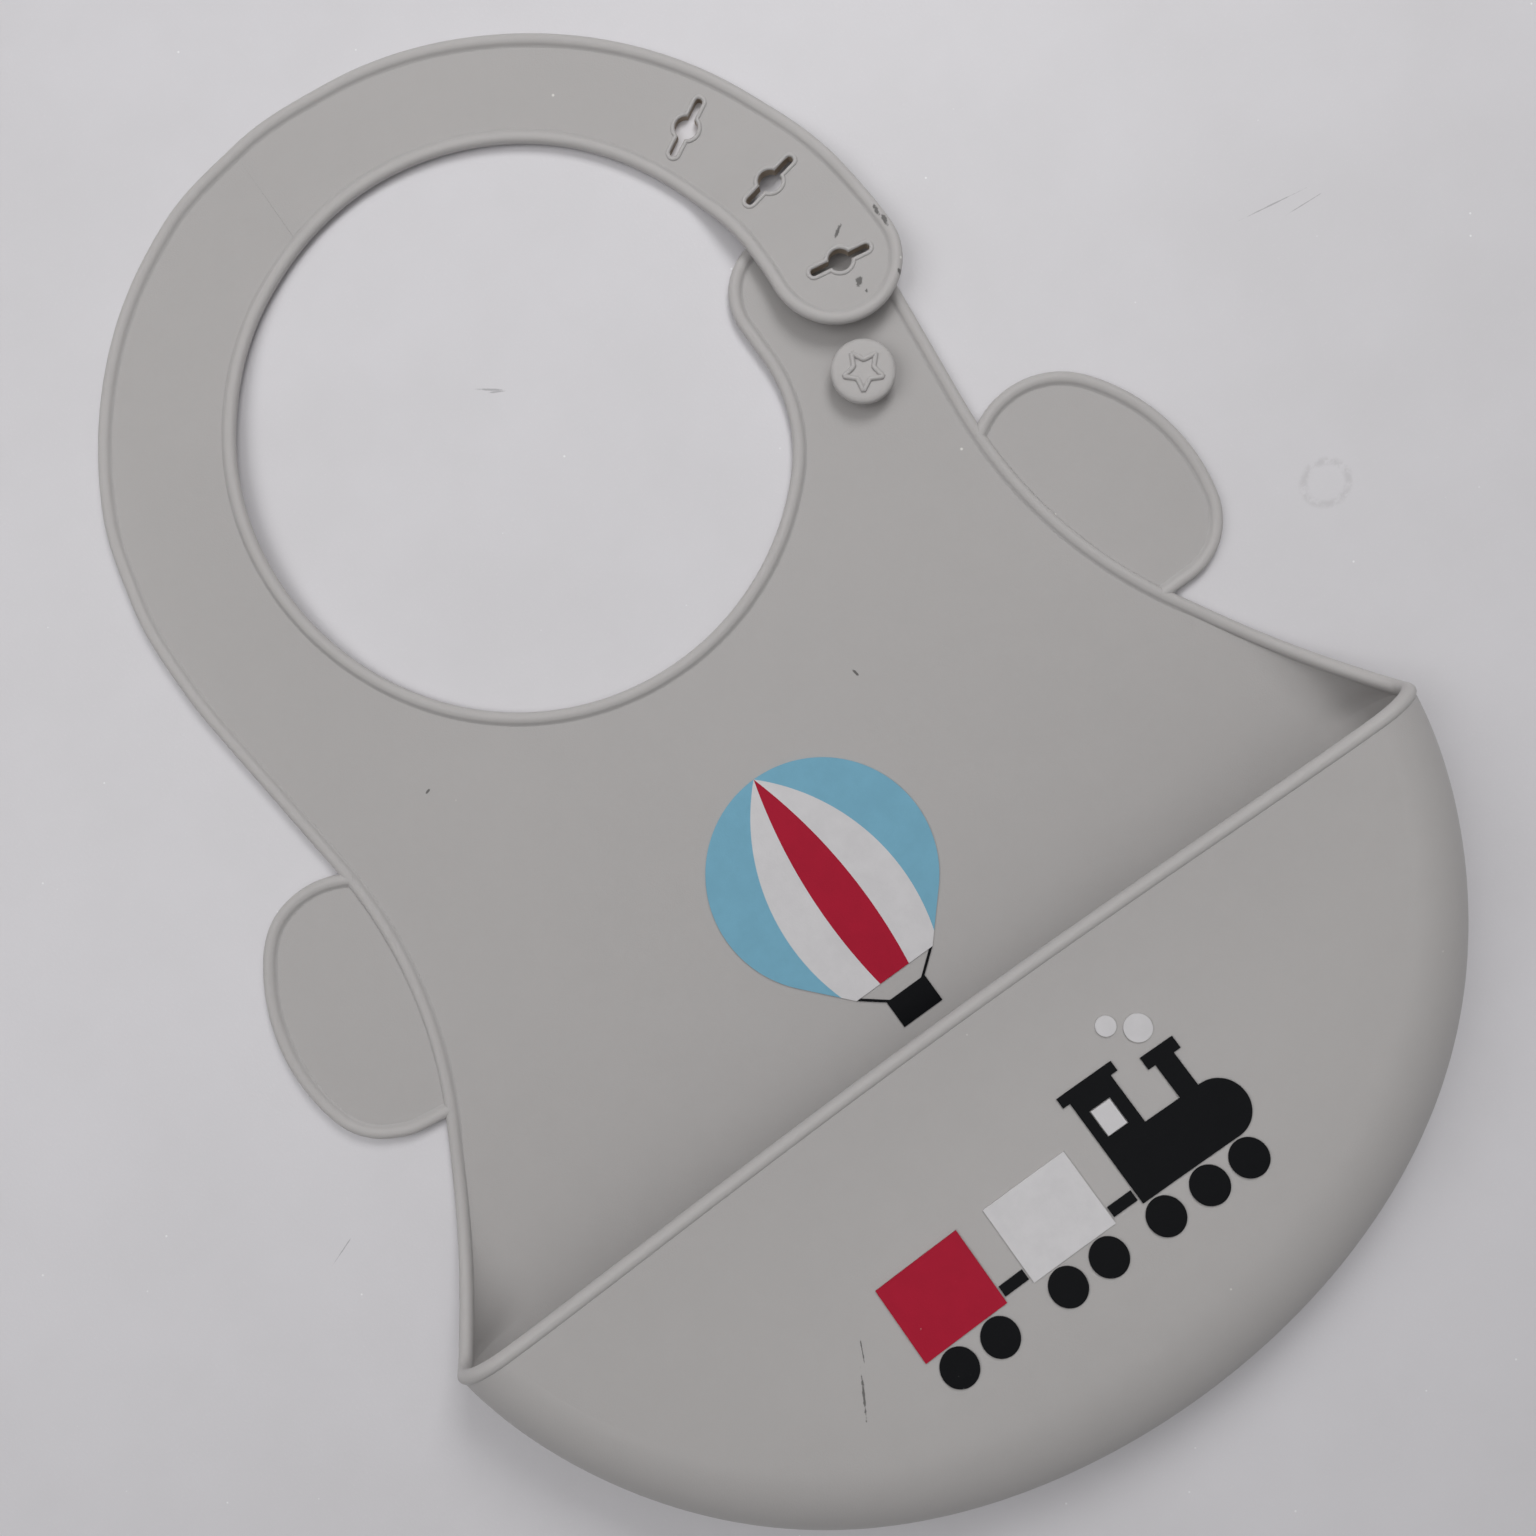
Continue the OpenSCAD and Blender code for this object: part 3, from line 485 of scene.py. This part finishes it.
# Edges of the bib: down the neck and round the tab to the right flank, and up from the left flank.
# Arcs and straight lines meet at the angles and the points where they touch.
neckCutA = math.degrees(math.acos((loop["cutX"] - loop["neckC"].x) / loop["neckR"]))
outerCutA = math.degrees(math.acos((loop["cutX"] - loop["outerC"].x) / loop["outerR"]))
tabTop = Vector((0, tab["cornerR"]))
collarRoute = [
    (loop["neckC"], loop["neckR"], neckCutA, 180),
    (loop["neckLowC"], loop["neckLowR"], 180, 316.1),
    (tab["armC"], tab["armR"], -43.9, 0),
    (Vector((50.2, 121.11)), Vector((50.2, 128.5))),
    (tab["leftC"], tab["cornerR"], 180, 90),
    (tab["leftC"] + tabTop, tab["rightC"] + tabTop),
    (tab["rightC"], tab["cornerR"], 90, -5.891),
    (Vector((77.842, 127.381)), Vector((74.186, 91.943))),
    (waist["centre"], waist["radius"], 174.109, 210)
]
leftRoute = [
    (Vector((-waist["centre"].x, waist["centre"].y)), waist["radius"], -30, 5.014),
    (Vector((-74.052, 90.54)), Vector((-77.207, 126.507))),
    (loop["outerC"], loop["outerR"], 185.014, outerCutA)
]


# Pocket: a sheet whose flanks curl up into a roll, which runs along an ellipse below the lip
pocket = {
    "roll": 13.0,  # radius of the roll, outside
    "wider": 4.0,  # how much wider than round it is over its top
    "halfWide": 95.0,
    "deep": 70.0,
    "slim": 5.0,  # how much the ellipse is drawn in at its shoulders
    "sag": 8.5,  # of the lip, in its middle
    "lipGap": 0.6,  # from the lip's line to the front wall's edge
    "flankX": 86.03,
    "flankY": 36.5,  # where the flanks begin to curl
    "flankLean": 30,  # degrees
    "curlPower": 1.4,
    "trayRows": 13,
    "rollRows": 13,
    "frontRows": 22,
    "flankSteps": 16,
    "rimSteps": 30,
    "bowlStep": 1.5,  # degrees along the ellipse
    "cornerStep": 6,  # degrees round the corner from the flank to the lip
    "lipStep": 1.4
}
rollMid = pocket["roll"] - stock["sheet"] / 2
quarter = rollMid * math.pi / 2


def sag(x, y):
    w = max(0.0, 1 - (x / pocket["halfWide"]) ** 2)
    q = min(1.0, max(0.0, -y) / max(0.01, pocket["deep"] * math.sqrt(w)))
    return pocket["sag"] * w ** 1.5 * (1 - q * q) ** 2


def frontPoint(x, y, z):
    return raised(lambda a, b: 2 * pocket["roll"] - sag(a, b), x, y, z)[0]


# A station across the roll: its centre, its direction and its curl
def flankStation(k):
    y = pocket["flankY"] * (1 - k)
    curl = math.radians(90 * k ** pocket["curlPower"])
    edge = pocket["flankX"] + (pocket["flankY"] - y) * math.tan(math.radians(pocket["flankLean"]))
    return Vector((edge - rollMid * math.sin(curl), y)), Vector((1, 0)), curl


def bowlStation(degrees):
    d = direction(degrees)
    slim = pocket["slim"] * 2 * d.x * d.y * abs(d.x) ** 3
    centre = Vector((pocket["halfWide"] * d.x - slim, -pocket["deep"] * d.y))
    return centre, Vector((d.x, -d.y)), math.pi / 2


# Point of the tray at a distance s in from the top of its curl
def trayPoint(station, s):
    centre, across, curl = station
    a = max(0.0, curl - s / rollMid)
    p = centre + (pocket["roll"] * math.sin(a) - max(0.0, s - rollMid * curl)) * across
    return Vector((p.x, p.y, pocket["roll"] - pocket["roll"] * math.cos(a)))


def trayColumn(station, start):
    rows = pocket["trayRows"]
    return [trayPoint(station, start + (quarter - start) * (1 - k / rows)) for k in range(rows + 1)]


def frontColumn(station):
    centre, across, curl = station
    points = []
    wide = pocket["roll"] + pocket["wider"] * across.y ** 2
    for k in range(pocket["rollRows"] + 1):
        b = curl * (1 + k / pocket["rollRows"])
        p = centre + (pocket["roll"] - wide + wide * math.sin(b)) * across
        points.append(Vector((p.x, p.y, pocket["roll"] - pocket["roll"] * math.cos(b))))
    rows = pocket["frontRows"]
    ys = [p.y + (-pocket["lipGap"] - p.y) * k / rows for k in range(1, rows + 1)]
    return points + [frontPoint(p.x, y, 0) for y in ys]


# Route of the bead up the right flank, over the roll, along the lip and down the left flank
def rimRoute():
    route = []
    for k in spread(0, 1, 1 / pocket["rimSteps"]):
        centre, across, curl = flankStation(k)
        up = Vector((-math.sin(curl), 0, math.cos(curl)))
        x = centre.x + rollMid * math.sin(curl)
        p = Vector((x, centre.y, pocket["roll"] - rollMid * math.cos(curl)))
        route.append((p + (stock["beadZ"] - stock["sheet"] / 2) * (1 - k) * up, up, k))
    for a in spread(90, 180, pocket["cornerStep"])[1:]:
        up = Vector((-math.sin(math.radians(a)), 0, math.cos(math.radians(a))))
        route.append((Vector((pocket["halfWide"], 0, pocket["roll"])) - rollMid * up, up, 1.0))
    for x in spread(pocket["halfWide"], 0, -pocket["lipStep"])[1:]:
        route.append((frontPoint(x, 0, -stock["sheet"] / 2), -vertical, 1.0))
    return route + [(mirrored(p), mirrored(u), k) for p, u, k in reversed(route[:-1])]


# Evens out the points within a reach of the middle one.
def eased(points, middle, reach, passes):
    low = middle - reach
    high = middle + reach + 1
    for _ in range(passes):
        points[low:high] = [
            (points[i - 1] + 2 * points[i] + points[i + 1]) / 4 for i in range(low, high)
        ]


rimPath, rimUps, rimShares = (list(values) for values in zip(*rimRoute()))
for corner in (pocket["rimSteps"], len(rimPath) - 1 - pocket["rimSteps"]):
    eased(rimPath, corner, reach=3, passes=5)
    eased(rimUps, corner, reach=5, passes=8)
rim = list(zip(rimPath, rimUps, rimShares))


# Bib with its collar, in one sheet; its flat part is cut closer together at the fold
shell = {
    "xs": spread(-108, 108, 4.5),
    "ys": spread(-72, 84, 6) + spread(86, 104, 1.5) + spread(108, 212, 4),
    "liftFrom": 98,  # where the collar begins to stand off the table
    "edgeStep": 2.0,
    "beadStep": 1.5
}
lipA = math.degrees(math.asin(pocket["lipGap"] / pocket["deep"]))
bowlStations = [bowlStation(a) for a in spread(lipA, 180 - lipA, pocket["bowlStep"])]
flankStations = [flankStation(k) for k in spread(0, 1, 1 / pocket["flankSteps"])]
flankColumns = [trayColumn(station, stock["tuck"]) for station in flankStations]
bowlColumns = [trayColumn(station, 0) for station in bowlStations]
farColumns = [[mirrored(p) for p in column] for column in reversed(flankColumns)]
columns = flankColumns + bowlColumns + farColumns

flatFrom = pocket["flankY"] + 0.5
innerRight = tucked(stray(walk(collarRoute, shell["edgeStep"])))
innerLeft = tucked(stray(walk(leftRoute, shell["edgeStep"])))
floorLine = [column[0] for column in columns]
outline = (
    [p for p in innerRight if p.y > flatFrom] + list(reversed(flankColumns[0]))
    + floorLine[1:-1] + farColumns[-1] + [p for p in innerLeft if p.y > flatFrom]
)

bm = bmesh.new()
fillOutlines(bm, [outline])
loft(bm, columns)
loft(bm, [frontColumn(station) for station in bowlStations])
bmesh.ops.remove_doubles(bm, verts=bm.verts, dist=weld)
manyCorners = 50  # only the flat part has so many
gridCut(bm, [f for f in bm.faces if len(f.verts) > manyCorners], shell["xs"], shell["ys"])
for v in bm.verts:
    if v.co.y > shell["liftFrom"]:
        v.co = raised(collarLift, v.co.x, v.co.y, 0)[0]
thicken(bm)
print("bib sheet", len(bm.faces), "faces")


def collarBead(route):
    points = stray(walk(route, shell["beadStep"]))
    return [(*raised(collarLift, p.x, p.y, stock["beadZ"]), 0.0) for p in points]


path, ups, shares = zip(*collarBead(collarRoute)[:-1], *rim, *collarBead(leftRoute)[1:])
sweep(bm, path, ups, lambda i: beadProfile(shares[i]))
bib = addPiece("bib_shell", bm, siliconeSlots)
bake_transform(bib)
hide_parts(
    "chest_panel", "side_bead_left", "side_bead_right", "neck_bead", "pocket_tray", "pocket_front",
    "pocket_rim", "shoulder_strap", "shoulder_bead", "button_tab", "tab_bead")
print("bib made")


# Strap's right half, in two pieces that meet between its folds
strap = {
    "endC": Vector((70.7, 128.1)),
    "endR": 11.6,
    # It rises over the tab and then at its tip: height, angle where it starts, degrees it takes
    "rises": [(3.2, 20, 16), (2.1, 2, 18)],
    "slots": [(71.1, 126.8, -10), (69.7, 147.3, 10.5), (63.2, 166.1, 27.5)],  # x, y, turn
    "hole": 2.2,  # radius
    "slotHalf": 12.3 / 2,
    "slit": 0.7,  # half width
    "rim": 0.42,  # radius of the ridge round a slot
    "rimSunk": 0.06,
    "wallShadeR": 7,  # how far from a slot's middle its walls get the painted shade
    "parting": -30,  # way across the line where the two pieces meet
    "curlAngle": 42,  # where its end curls
    "curlR": 68,
    "curlHalf": 6,
    "xs": spread(-10, 84, 4),
    "ys": spread(112, 216, 4),
    "edgeStep": 1.8,
    "beadStep": 1.3,
    "slotStep": 0.45,
    "rimStep": 0.3
}


def strapRise(x, y):
    if x <= loop["neckC"].x:
        return 0.0
    angle = math.degrees(math.atan2(y - loop["neckC"].y, x - loop["neckC"].x))
    return sum(height * smooth((start - angle) / run) for height, start, run in strap["rises"])


def angleOfEnd(centre):
    return math.degrees(math.atan2(strap["endC"].y - centre.y, strap["endC"].x - centre.x))


outerEndA = angleOfEnd(loop["outerC"])
neckEndA = angleOfEnd(loop["neckC"])
strapRoute = [
    (loop["outerC"], loop["outerR"], outerCutA, outerEndA),
    (strap["endC"], strap["endR"], outerEndA, neckEndA - 180),
    (loop["neckC"], loop["neckR"], neckEndA, neckCutA)
]


# Outline of a keyhole slot: a round hole with a slit through it, grown by a margin
def slotOutline(x, y, turn, margin, step):
    hole = strap["hole"] + margin
    slit = strap["slit"] + margin
    tip = strap["slotHalf"] - strap["slit"]
    a = math.degrees(math.asin(slit / hole))
    reach = hole * math.cos(math.radians(a))
    half = [
        (Vector((0, 0)), hole, 180 - a, a), (Vector((reach, slit)), Vector((tip, slit))),
        (Vector((tip, 0)), slit, 90, -90), (Vector((tip, -slit)), Vector((reach, -slit)))
    ]
    points = walk(half, step)[:-1]
    points += [-p for p in points]
    spin = Matrix.Rotation(math.radians(turn), 2)
    return [Vector((x, y)) + spin @ p for p in points]


def onStrap(points, z):
    return zip(*(raised(strapRise, p.x, p.y, z) for p in points))


def slotWall(face):
    steep = abs(face.normal.z) < 0.5
    middle = face.calc_center_median().xy
    reach = strap["wallShadeR"]
    return steep and any((middle - Vector(place[:2])).length < reach for place in strap["slots"])


def strapMesh():
    bm = bmesh.new()
    outlines = [tucked(stray(walk(strapRoute, strap["edgeStep"])))]
    outlines += [slotOutline(*place, 0, strap["slotStep"]) for place in strap["slots"]]
    gridCut(bm, fillOutlines(bm, outlines), strap["xs"], strap["ys"])
    for v in bm.verts:
        v.co.z = strapRise(v.co.x, v.co.y)
    thicken(bm)
    bm.normal_update()
    # Steep walls round the slots get the dark brown material, which paints their shade.
    for face in bm.faces:
        if slotWall(face):
            face.material_index = slotShadeIndex
    edge = stray(walk(strapRoute, strap["beadStep"]))
    sweep(bm, *onStrap(edge, stock["beadZ"]), beadProfile(0))
    ridge = ridgeProfile(strap["rim"], strap["rim"])
    for place in strap["slots"]:
        line = slotOutline(*place, strap["rim"], strap["rimStep"])
        sweep(bm, *onStrap(line, stock["sheet"] - strap["rimSunk"]), ridge, ring=True)
    bmesh.ops.remove_doubles(bm, verts=bm.verts, dist=fineWeld)
    return bm


# Cuts a mesh across the neck's centre, keeps what lies behind the cut and closes it.
def keepSide(bm, normal):
    cut = bmesh.ops.bisect_plane(
        bm, geom=parts(bm.faces), dist=1e-5, plane_co=loop["neckC"].to_3d(),
        plane_no=normal.to_3d(), clear_outer=True)
    edges = [g for g in cut["geom_cut"] if isinstance(g, bmesh.types.BMEdge)]
    bmesh.ops.holes_fill(bm, edges=edges, sides=0)


backMesh = strapMesh()
keepSide(backMesh, direction(strap["parting"]))
strapBack = addPiece("strap_back_half", backMesh, siliconeSlots)
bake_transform(strapBack)
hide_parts("strap_back", "strap_back_bead")

endMesh = strapMesh()
keepSide(endMesh, direction(strap["parting"] + 180))
strapEnd = addPiece("strap_end_half", endMesh, siliconeSlots)
foldN = direction(strap["curlAngle"] - 90)
foldMid = loop["neckC"] + strap["curlR"] * direction(strap["curlAngle"])
start = (foldMid - strap["curlHalf"] * foldN) * mm
end = (foldMid + strap["curlHalf"] * foldN) * mm
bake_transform(strapEnd)
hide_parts("strap_end", "strap_end_bead")
print("strap made")


# Side flaps: three arcs and a short foot, and the straight line of their fold
flapShape = {
    "route": [
        (Vector((83.5, 71.2)), 16.6, 126.2, 38.2), (Vector((67.37, 58.5)), 37.13, 38.2, -14.2),
        (Vector((91.15, 52.5)), 12.6, -14.2, -90), (Vector((91.15, 39.9)), Vector((84.2, 39.9)))
    ],
    "foldLow": Vector((88.90, 38.5)),
    "foldTop": Vector((79.5, 89.2)),
    "foldHalf": 2.6,
    "innerTurns": spread(206, 178, -1.4),  # degrees round the waist's arc
    "under": 0.6,  # how far its inner edge lies inside the bib's edge
    "lowY": 41.5,
    "topY": {1: 83.0, -1: 85.0},  # where its inner edge ends, on the right and on the left
    # The left flap lies a little higher and narrower, except where its foot meets the edge.
    "higher": 1.9,
    "narrower": 0.8,
    "footY": 60,
    "footX": 82,
    "footRun": 14,
    "sideX": 88,
    "sideRun": 10,
    "xs": spread(74, 106, 2.6),
    "ys": spread(38, 90, 4),
    "beadStep": 1.3
}


def leftFlapPoint(p):
    foot = 1.0
    if p.y < flapShape["footY"]:
        foot = min(1.0, (p.x - flapShape["footX"]) / flapShape["footRun"])
    drawnIn = flapShape["narrower"] * smooth((p.x - flapShape["sideX"]) / flapShape["sideRun"])
    return Vector((p.x - drawnIn, p.y + flapShape["higher"] * foot))


def flap(name, side, nodes):
    bm = bmesh.new()
    edge = walk(flapShape["route"], flapShape["beadStep"])
    if side < 0:
        edge = [leftFlapPoint(p) for p in edge]
    reach = waist["radius"] + flapShape["under"]
    inner = [waist["centre"] + reach * direction(a) for a in flapShape["innerTurns"]]
    inner = [p for p in inner if flapShape["lowY"] < p.y < flapShape["topY"][side]]
    gridCut(bm, fillOutlines(bm, [tucked(edge) + inner]), flapShape["xs"], flapShape["ys"])
    thicken(bm)
    path = [Vector((p.x, p.y, stock["beadZ"])) for p in edge]
    sweep(bm, path, [vertical] * len(path), beadProfile(0))
    if side < 0:
        bmesh.ops.scale(bm, vec=(-1, 1, 1), verts=bm.verts)
    piece = addPiece(name, bm, siliconeSlots)
    low, top = flapShape["foldLow"], flapShape["foldTop"]
    out = Vector((top.y - low.y, low.x - top.x)).normalized()
    middle = (low + top) / 2
    start = (middle - flapShape["foldHalf"] * out) * mm
    end = (middle + flapShape["foldHalf"] * out) * mm
    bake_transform(piece)
    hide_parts(*nodes)


flap("flap_left_sheet", -1, ["flap_root_left", "flap_left", "flap_bead_left"])
flap("flap_right_sheet", 1, ["flap_root_right", "flap_right", "flap_bead_right"])
print("flaps made")


# Mushroom button with a star on its head; its curve is (radius, height) from the top down
stud = {
    "x": 62.5,
    "y": 107.5,
    "curve": [
        (0.05, 6.4), (4.6, 6.4), (5.3, 6.36), (5.75, 6.22), (6.05, 5.98), (6.22, 5.6), (6.25, 5.2),
        (6.15, 4.8), (5.9, 4.52), (5.5, 4.4), (2.9, 4.4), (2.4, 4.2), (2.15, 3.8), (2.1, 3.0),
        (2.2, 2.3), (2.7, 1.85), (3.2, 1.6), (0.05, 1.6)
    ],
    "star": 4.0,  # radius at its points
    "notch": 0.5,  # share of that at its notches
    "turn": -126,
    "starZ": 6.42,
    "ridge": (0.5, 0.55),  # half width and height of the star's line
    "steps": (0.06, 0.2, 0.5, 0.8, 0.94)  # along each of its sides, closer at the corners
}


def studPoint(z, radius, degrees):
    return Vector((stud["x"], stud["y"], z)) + radius * direction(degrees).to_3d()


bm = bmesh.new()
rows = [[studPoint(z, r, a) for a in range(0, 360, 6)] for r, z in stud["curve"]]
for edges in loft(bm, rows, ring=True, index=1):
    bmesh.ops.contextual_create(bm, geom=edges)
tips = []
for i in range(10):
    radius = stud["star"] * (stud["notch"] if i % 2 else 1.0)
    tips.append(studPoint(stud["starZ"], radius, stud["turn"] + 36 * i))
path = [a.lerp(b, t) for a, b in zip(tips, tips[1:] + tips[:1]) for t in stud["steps"]]
sweep(bm, path, [vertical] * len(path), ridgeProfile(*stud["ridge"]), ring=True)
bmesh.ops.remove_doubles(bm, verts=bm.verts, dist=fineWeld)
button = addPiece("button_stud", bm, siliconeSlots)
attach(button, "collar")
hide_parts("stud")
print("button made")


# Printed pictures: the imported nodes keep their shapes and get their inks
prints = {"balloon": ("blue", "white", "red", "black"), "train": ("black", "white", "red")}
for picture, colourNames in prints.items():
    for colourName in colourNames:
        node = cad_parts[picture + "_" + colourName + "_ink"]
        node.data.materials.clear()
        node.data.materials.append(inks[colourName])
print("pictures coloured")


# Table of pale laminate; its marks are x, y, angle, length, width in mm
table = {
    "dark": (216, 214, 217),
    "light": (224, 222, 226),
    "fleck": (245, 243, 244),
    "scratch": (120, 118, 122),
    "stain": (150, 146, 146),
    "crumb": (250, 250, 252),
    "haze": (186, 184, 185),  # glow far from the bib, where the table fades into the backdrop
    "flecked": 0.1,
    "scratched": 0.45,
    "stainAndShade": 0.22,
    "crumbs": 0.8,
    "marks": [
        (2.9, 148.2, -38, 5.4, 0.5), (3.8, 147.0, -30, 3.0, 0.4), (147.0, 88.0, -10, 13.0, 0.28),
        (152.0, 84.5, -4, 8.0, 0.22), (-118.0, 30.0, 20, 6.0, 0.25)
    ],
    "ring": (123.5, 38.4, 0, 9.6, 8.6),  # a dried drop
    "half": 1800,
    "middle": Vector((0, 57, -0.05)),
    "clear": (0, 57, 0, 900, 900)  # the part without haze
}


def tableMaterial():
    g = Graph(bpy.data.materials.new("table_laminate"))
    cloud = g.noise(5.0, 3.0)
    mottle = g.noise(28.0, 4.0, 0.6)
    fleck = g.noise(1500.0, 2.0, 0.7)
    ragged = g.noise(500.0, 3.0, 0.7)
    shade = (cloud * 0.6 + mottle * 0.4).between(0.3, 0.7)
    colour = g.mix(shade, srgb(*table["dark"]), srgb(*table["light"]))
    flecks = (fleck - 0.5).between(0.05, 0.3)
    colour = g.mix(flecks * table["flecked"], colour, srgb(*table["fleck"]))
    worn = g.worn(table["marks"], ragged, 1.8, 0.5)
    colour = g.mix(worn * table["scratched"], colour, srgb(*table["scratch"]))
    ring = g.mark(*table["ring"]) + (mottle - 0.5) * 0.5
    stain = ring.between(0.72, 0.95) * ring.between(1.25, 1.0) * ragged.between(0.35, 0.6)
    colour = g.mix(stain * table["stainAndShade"], colour, srgb(*table["stain"]))
    crumbs = g.scatter(120.0).between(0.035, 0.015)
    colour = g.mix(crumbs * table["crumbs"], colour, srgb(*table["crumb"]))
    far = g.mark(*table["clear"]).between(1.0, 3.2)
    seen = g.add("ShaderNodeLightPath", output="Is Camera Ray")
    haze = g.mix(far * seen, srgb(0, 0, 0), srgb(*table["haze"]))
    return g.finish(
        {"Base Color": colour, "Roughness": 0.5 + (cloud - 0.5) * 0.1 + worn * 0.2, "IOR": 1.45,
         "Emission Color": haze, "Emission Strength": 1.0},
        [(fleck, 0.00002)])


bm = bmesh.new()
bmesh.ops.create_grid(bm, x_segments=24, y_segments=24, size=table["half"])
bmesh.ops.translate(bm, vec=table["middle"], verts=bm.verts)
floor = addPiece("table_top", bm, [tableMaterial()])
print("table made")


# Soft lamps, each with its place and size in metres and its power in watts
lamps = {
    "key": ((0.40, 0.42, 0.64), (0.3, 0.3), 2.3),
    "side": ((-0.36, 0.34, 0.70), (0.5, 0.5), 1.7),
    "overhead": ((0.05, 0.12, 0.80), (0.9, 0.9), 1.0)
}
room = {
    "target": (0.0035, 0.0571, 0.0),  # what the lamps point at
    "walls": 0.30,  # brightness, which grows from the walls to the ceiling
    "ceiling": 1.0,
    "strength": 0.30,
    "backdrop": (214, 212, 213)  # what the camera sees instead
}


def grey(level):
    return (level, level, level, 1.0)


for name, (place, size, power) in lamps.items():
    data = bpy.data.lights.new(name, "AREA")
    data.shape = "RECTANGLE"
    data.size, data.size_y = size
    data.energy = power
    lamp = bpy.data.objects.new(name, data)
    lamp.location = place
    aim = Vector(room["target"]) - Vector(place)
    lamp.rotation_euler = aim.to_track_quat("-Z", "Y").to_euler()
    scene.collection.objects.link(lamp)

g = Graph(bpy.data.worlds.new("room"), "Generated")
height = g.add("ShaderNodeSeparateXYZ", None, [g.place], output="Z")
stops = [(0.05, grey(room["walls"])), (0.95, grey(room["ceiling"]))]
glow = g.add("ShaderNodeValToRGB", {"stops": stops}, [height])
light = g.add("ShaderNodeBackground", None, [glow, room["strength"]])
backdrop = g.add("ShaderNodeBackground", None, [srgb(*room["backdrop"]), 1.0])
seen = g.add("ShaderNodeLightPath", output="Is Camera Ray")
either = g.add("ShaderNodeMixShader", None, [seen, light, backdrop])
g.add("ShaderNodeOutputWorld", None, [either])
scene.world = g.owner
scene.view_settings.view_transform = "Standard"
print("lamps and room set")


# Camera that looks straight down: place in metres and turn in degrees
view = {
    "lens": 36.0,
    "sensor": 36.0,
    "nearest": 0.01,
    "place": (0.00354, 0.05716, 0.2974),
    "turn": -36
}
cameraData = bpy.data.cameras.new("camera")
cameraData.lens = view["lens"]
cameraData.sensor_width = view["sensor"]
cameraData.clip_start = view["nearest"]
camera = bpy.data.objects.new("camera", cameraData)
camera.location = view["place"]
camera.rotation_euler = (0, 0, math.radians(view["turn"]))
scene.collection.objects.link(camera)
scene.camera = camera
print("camera set")
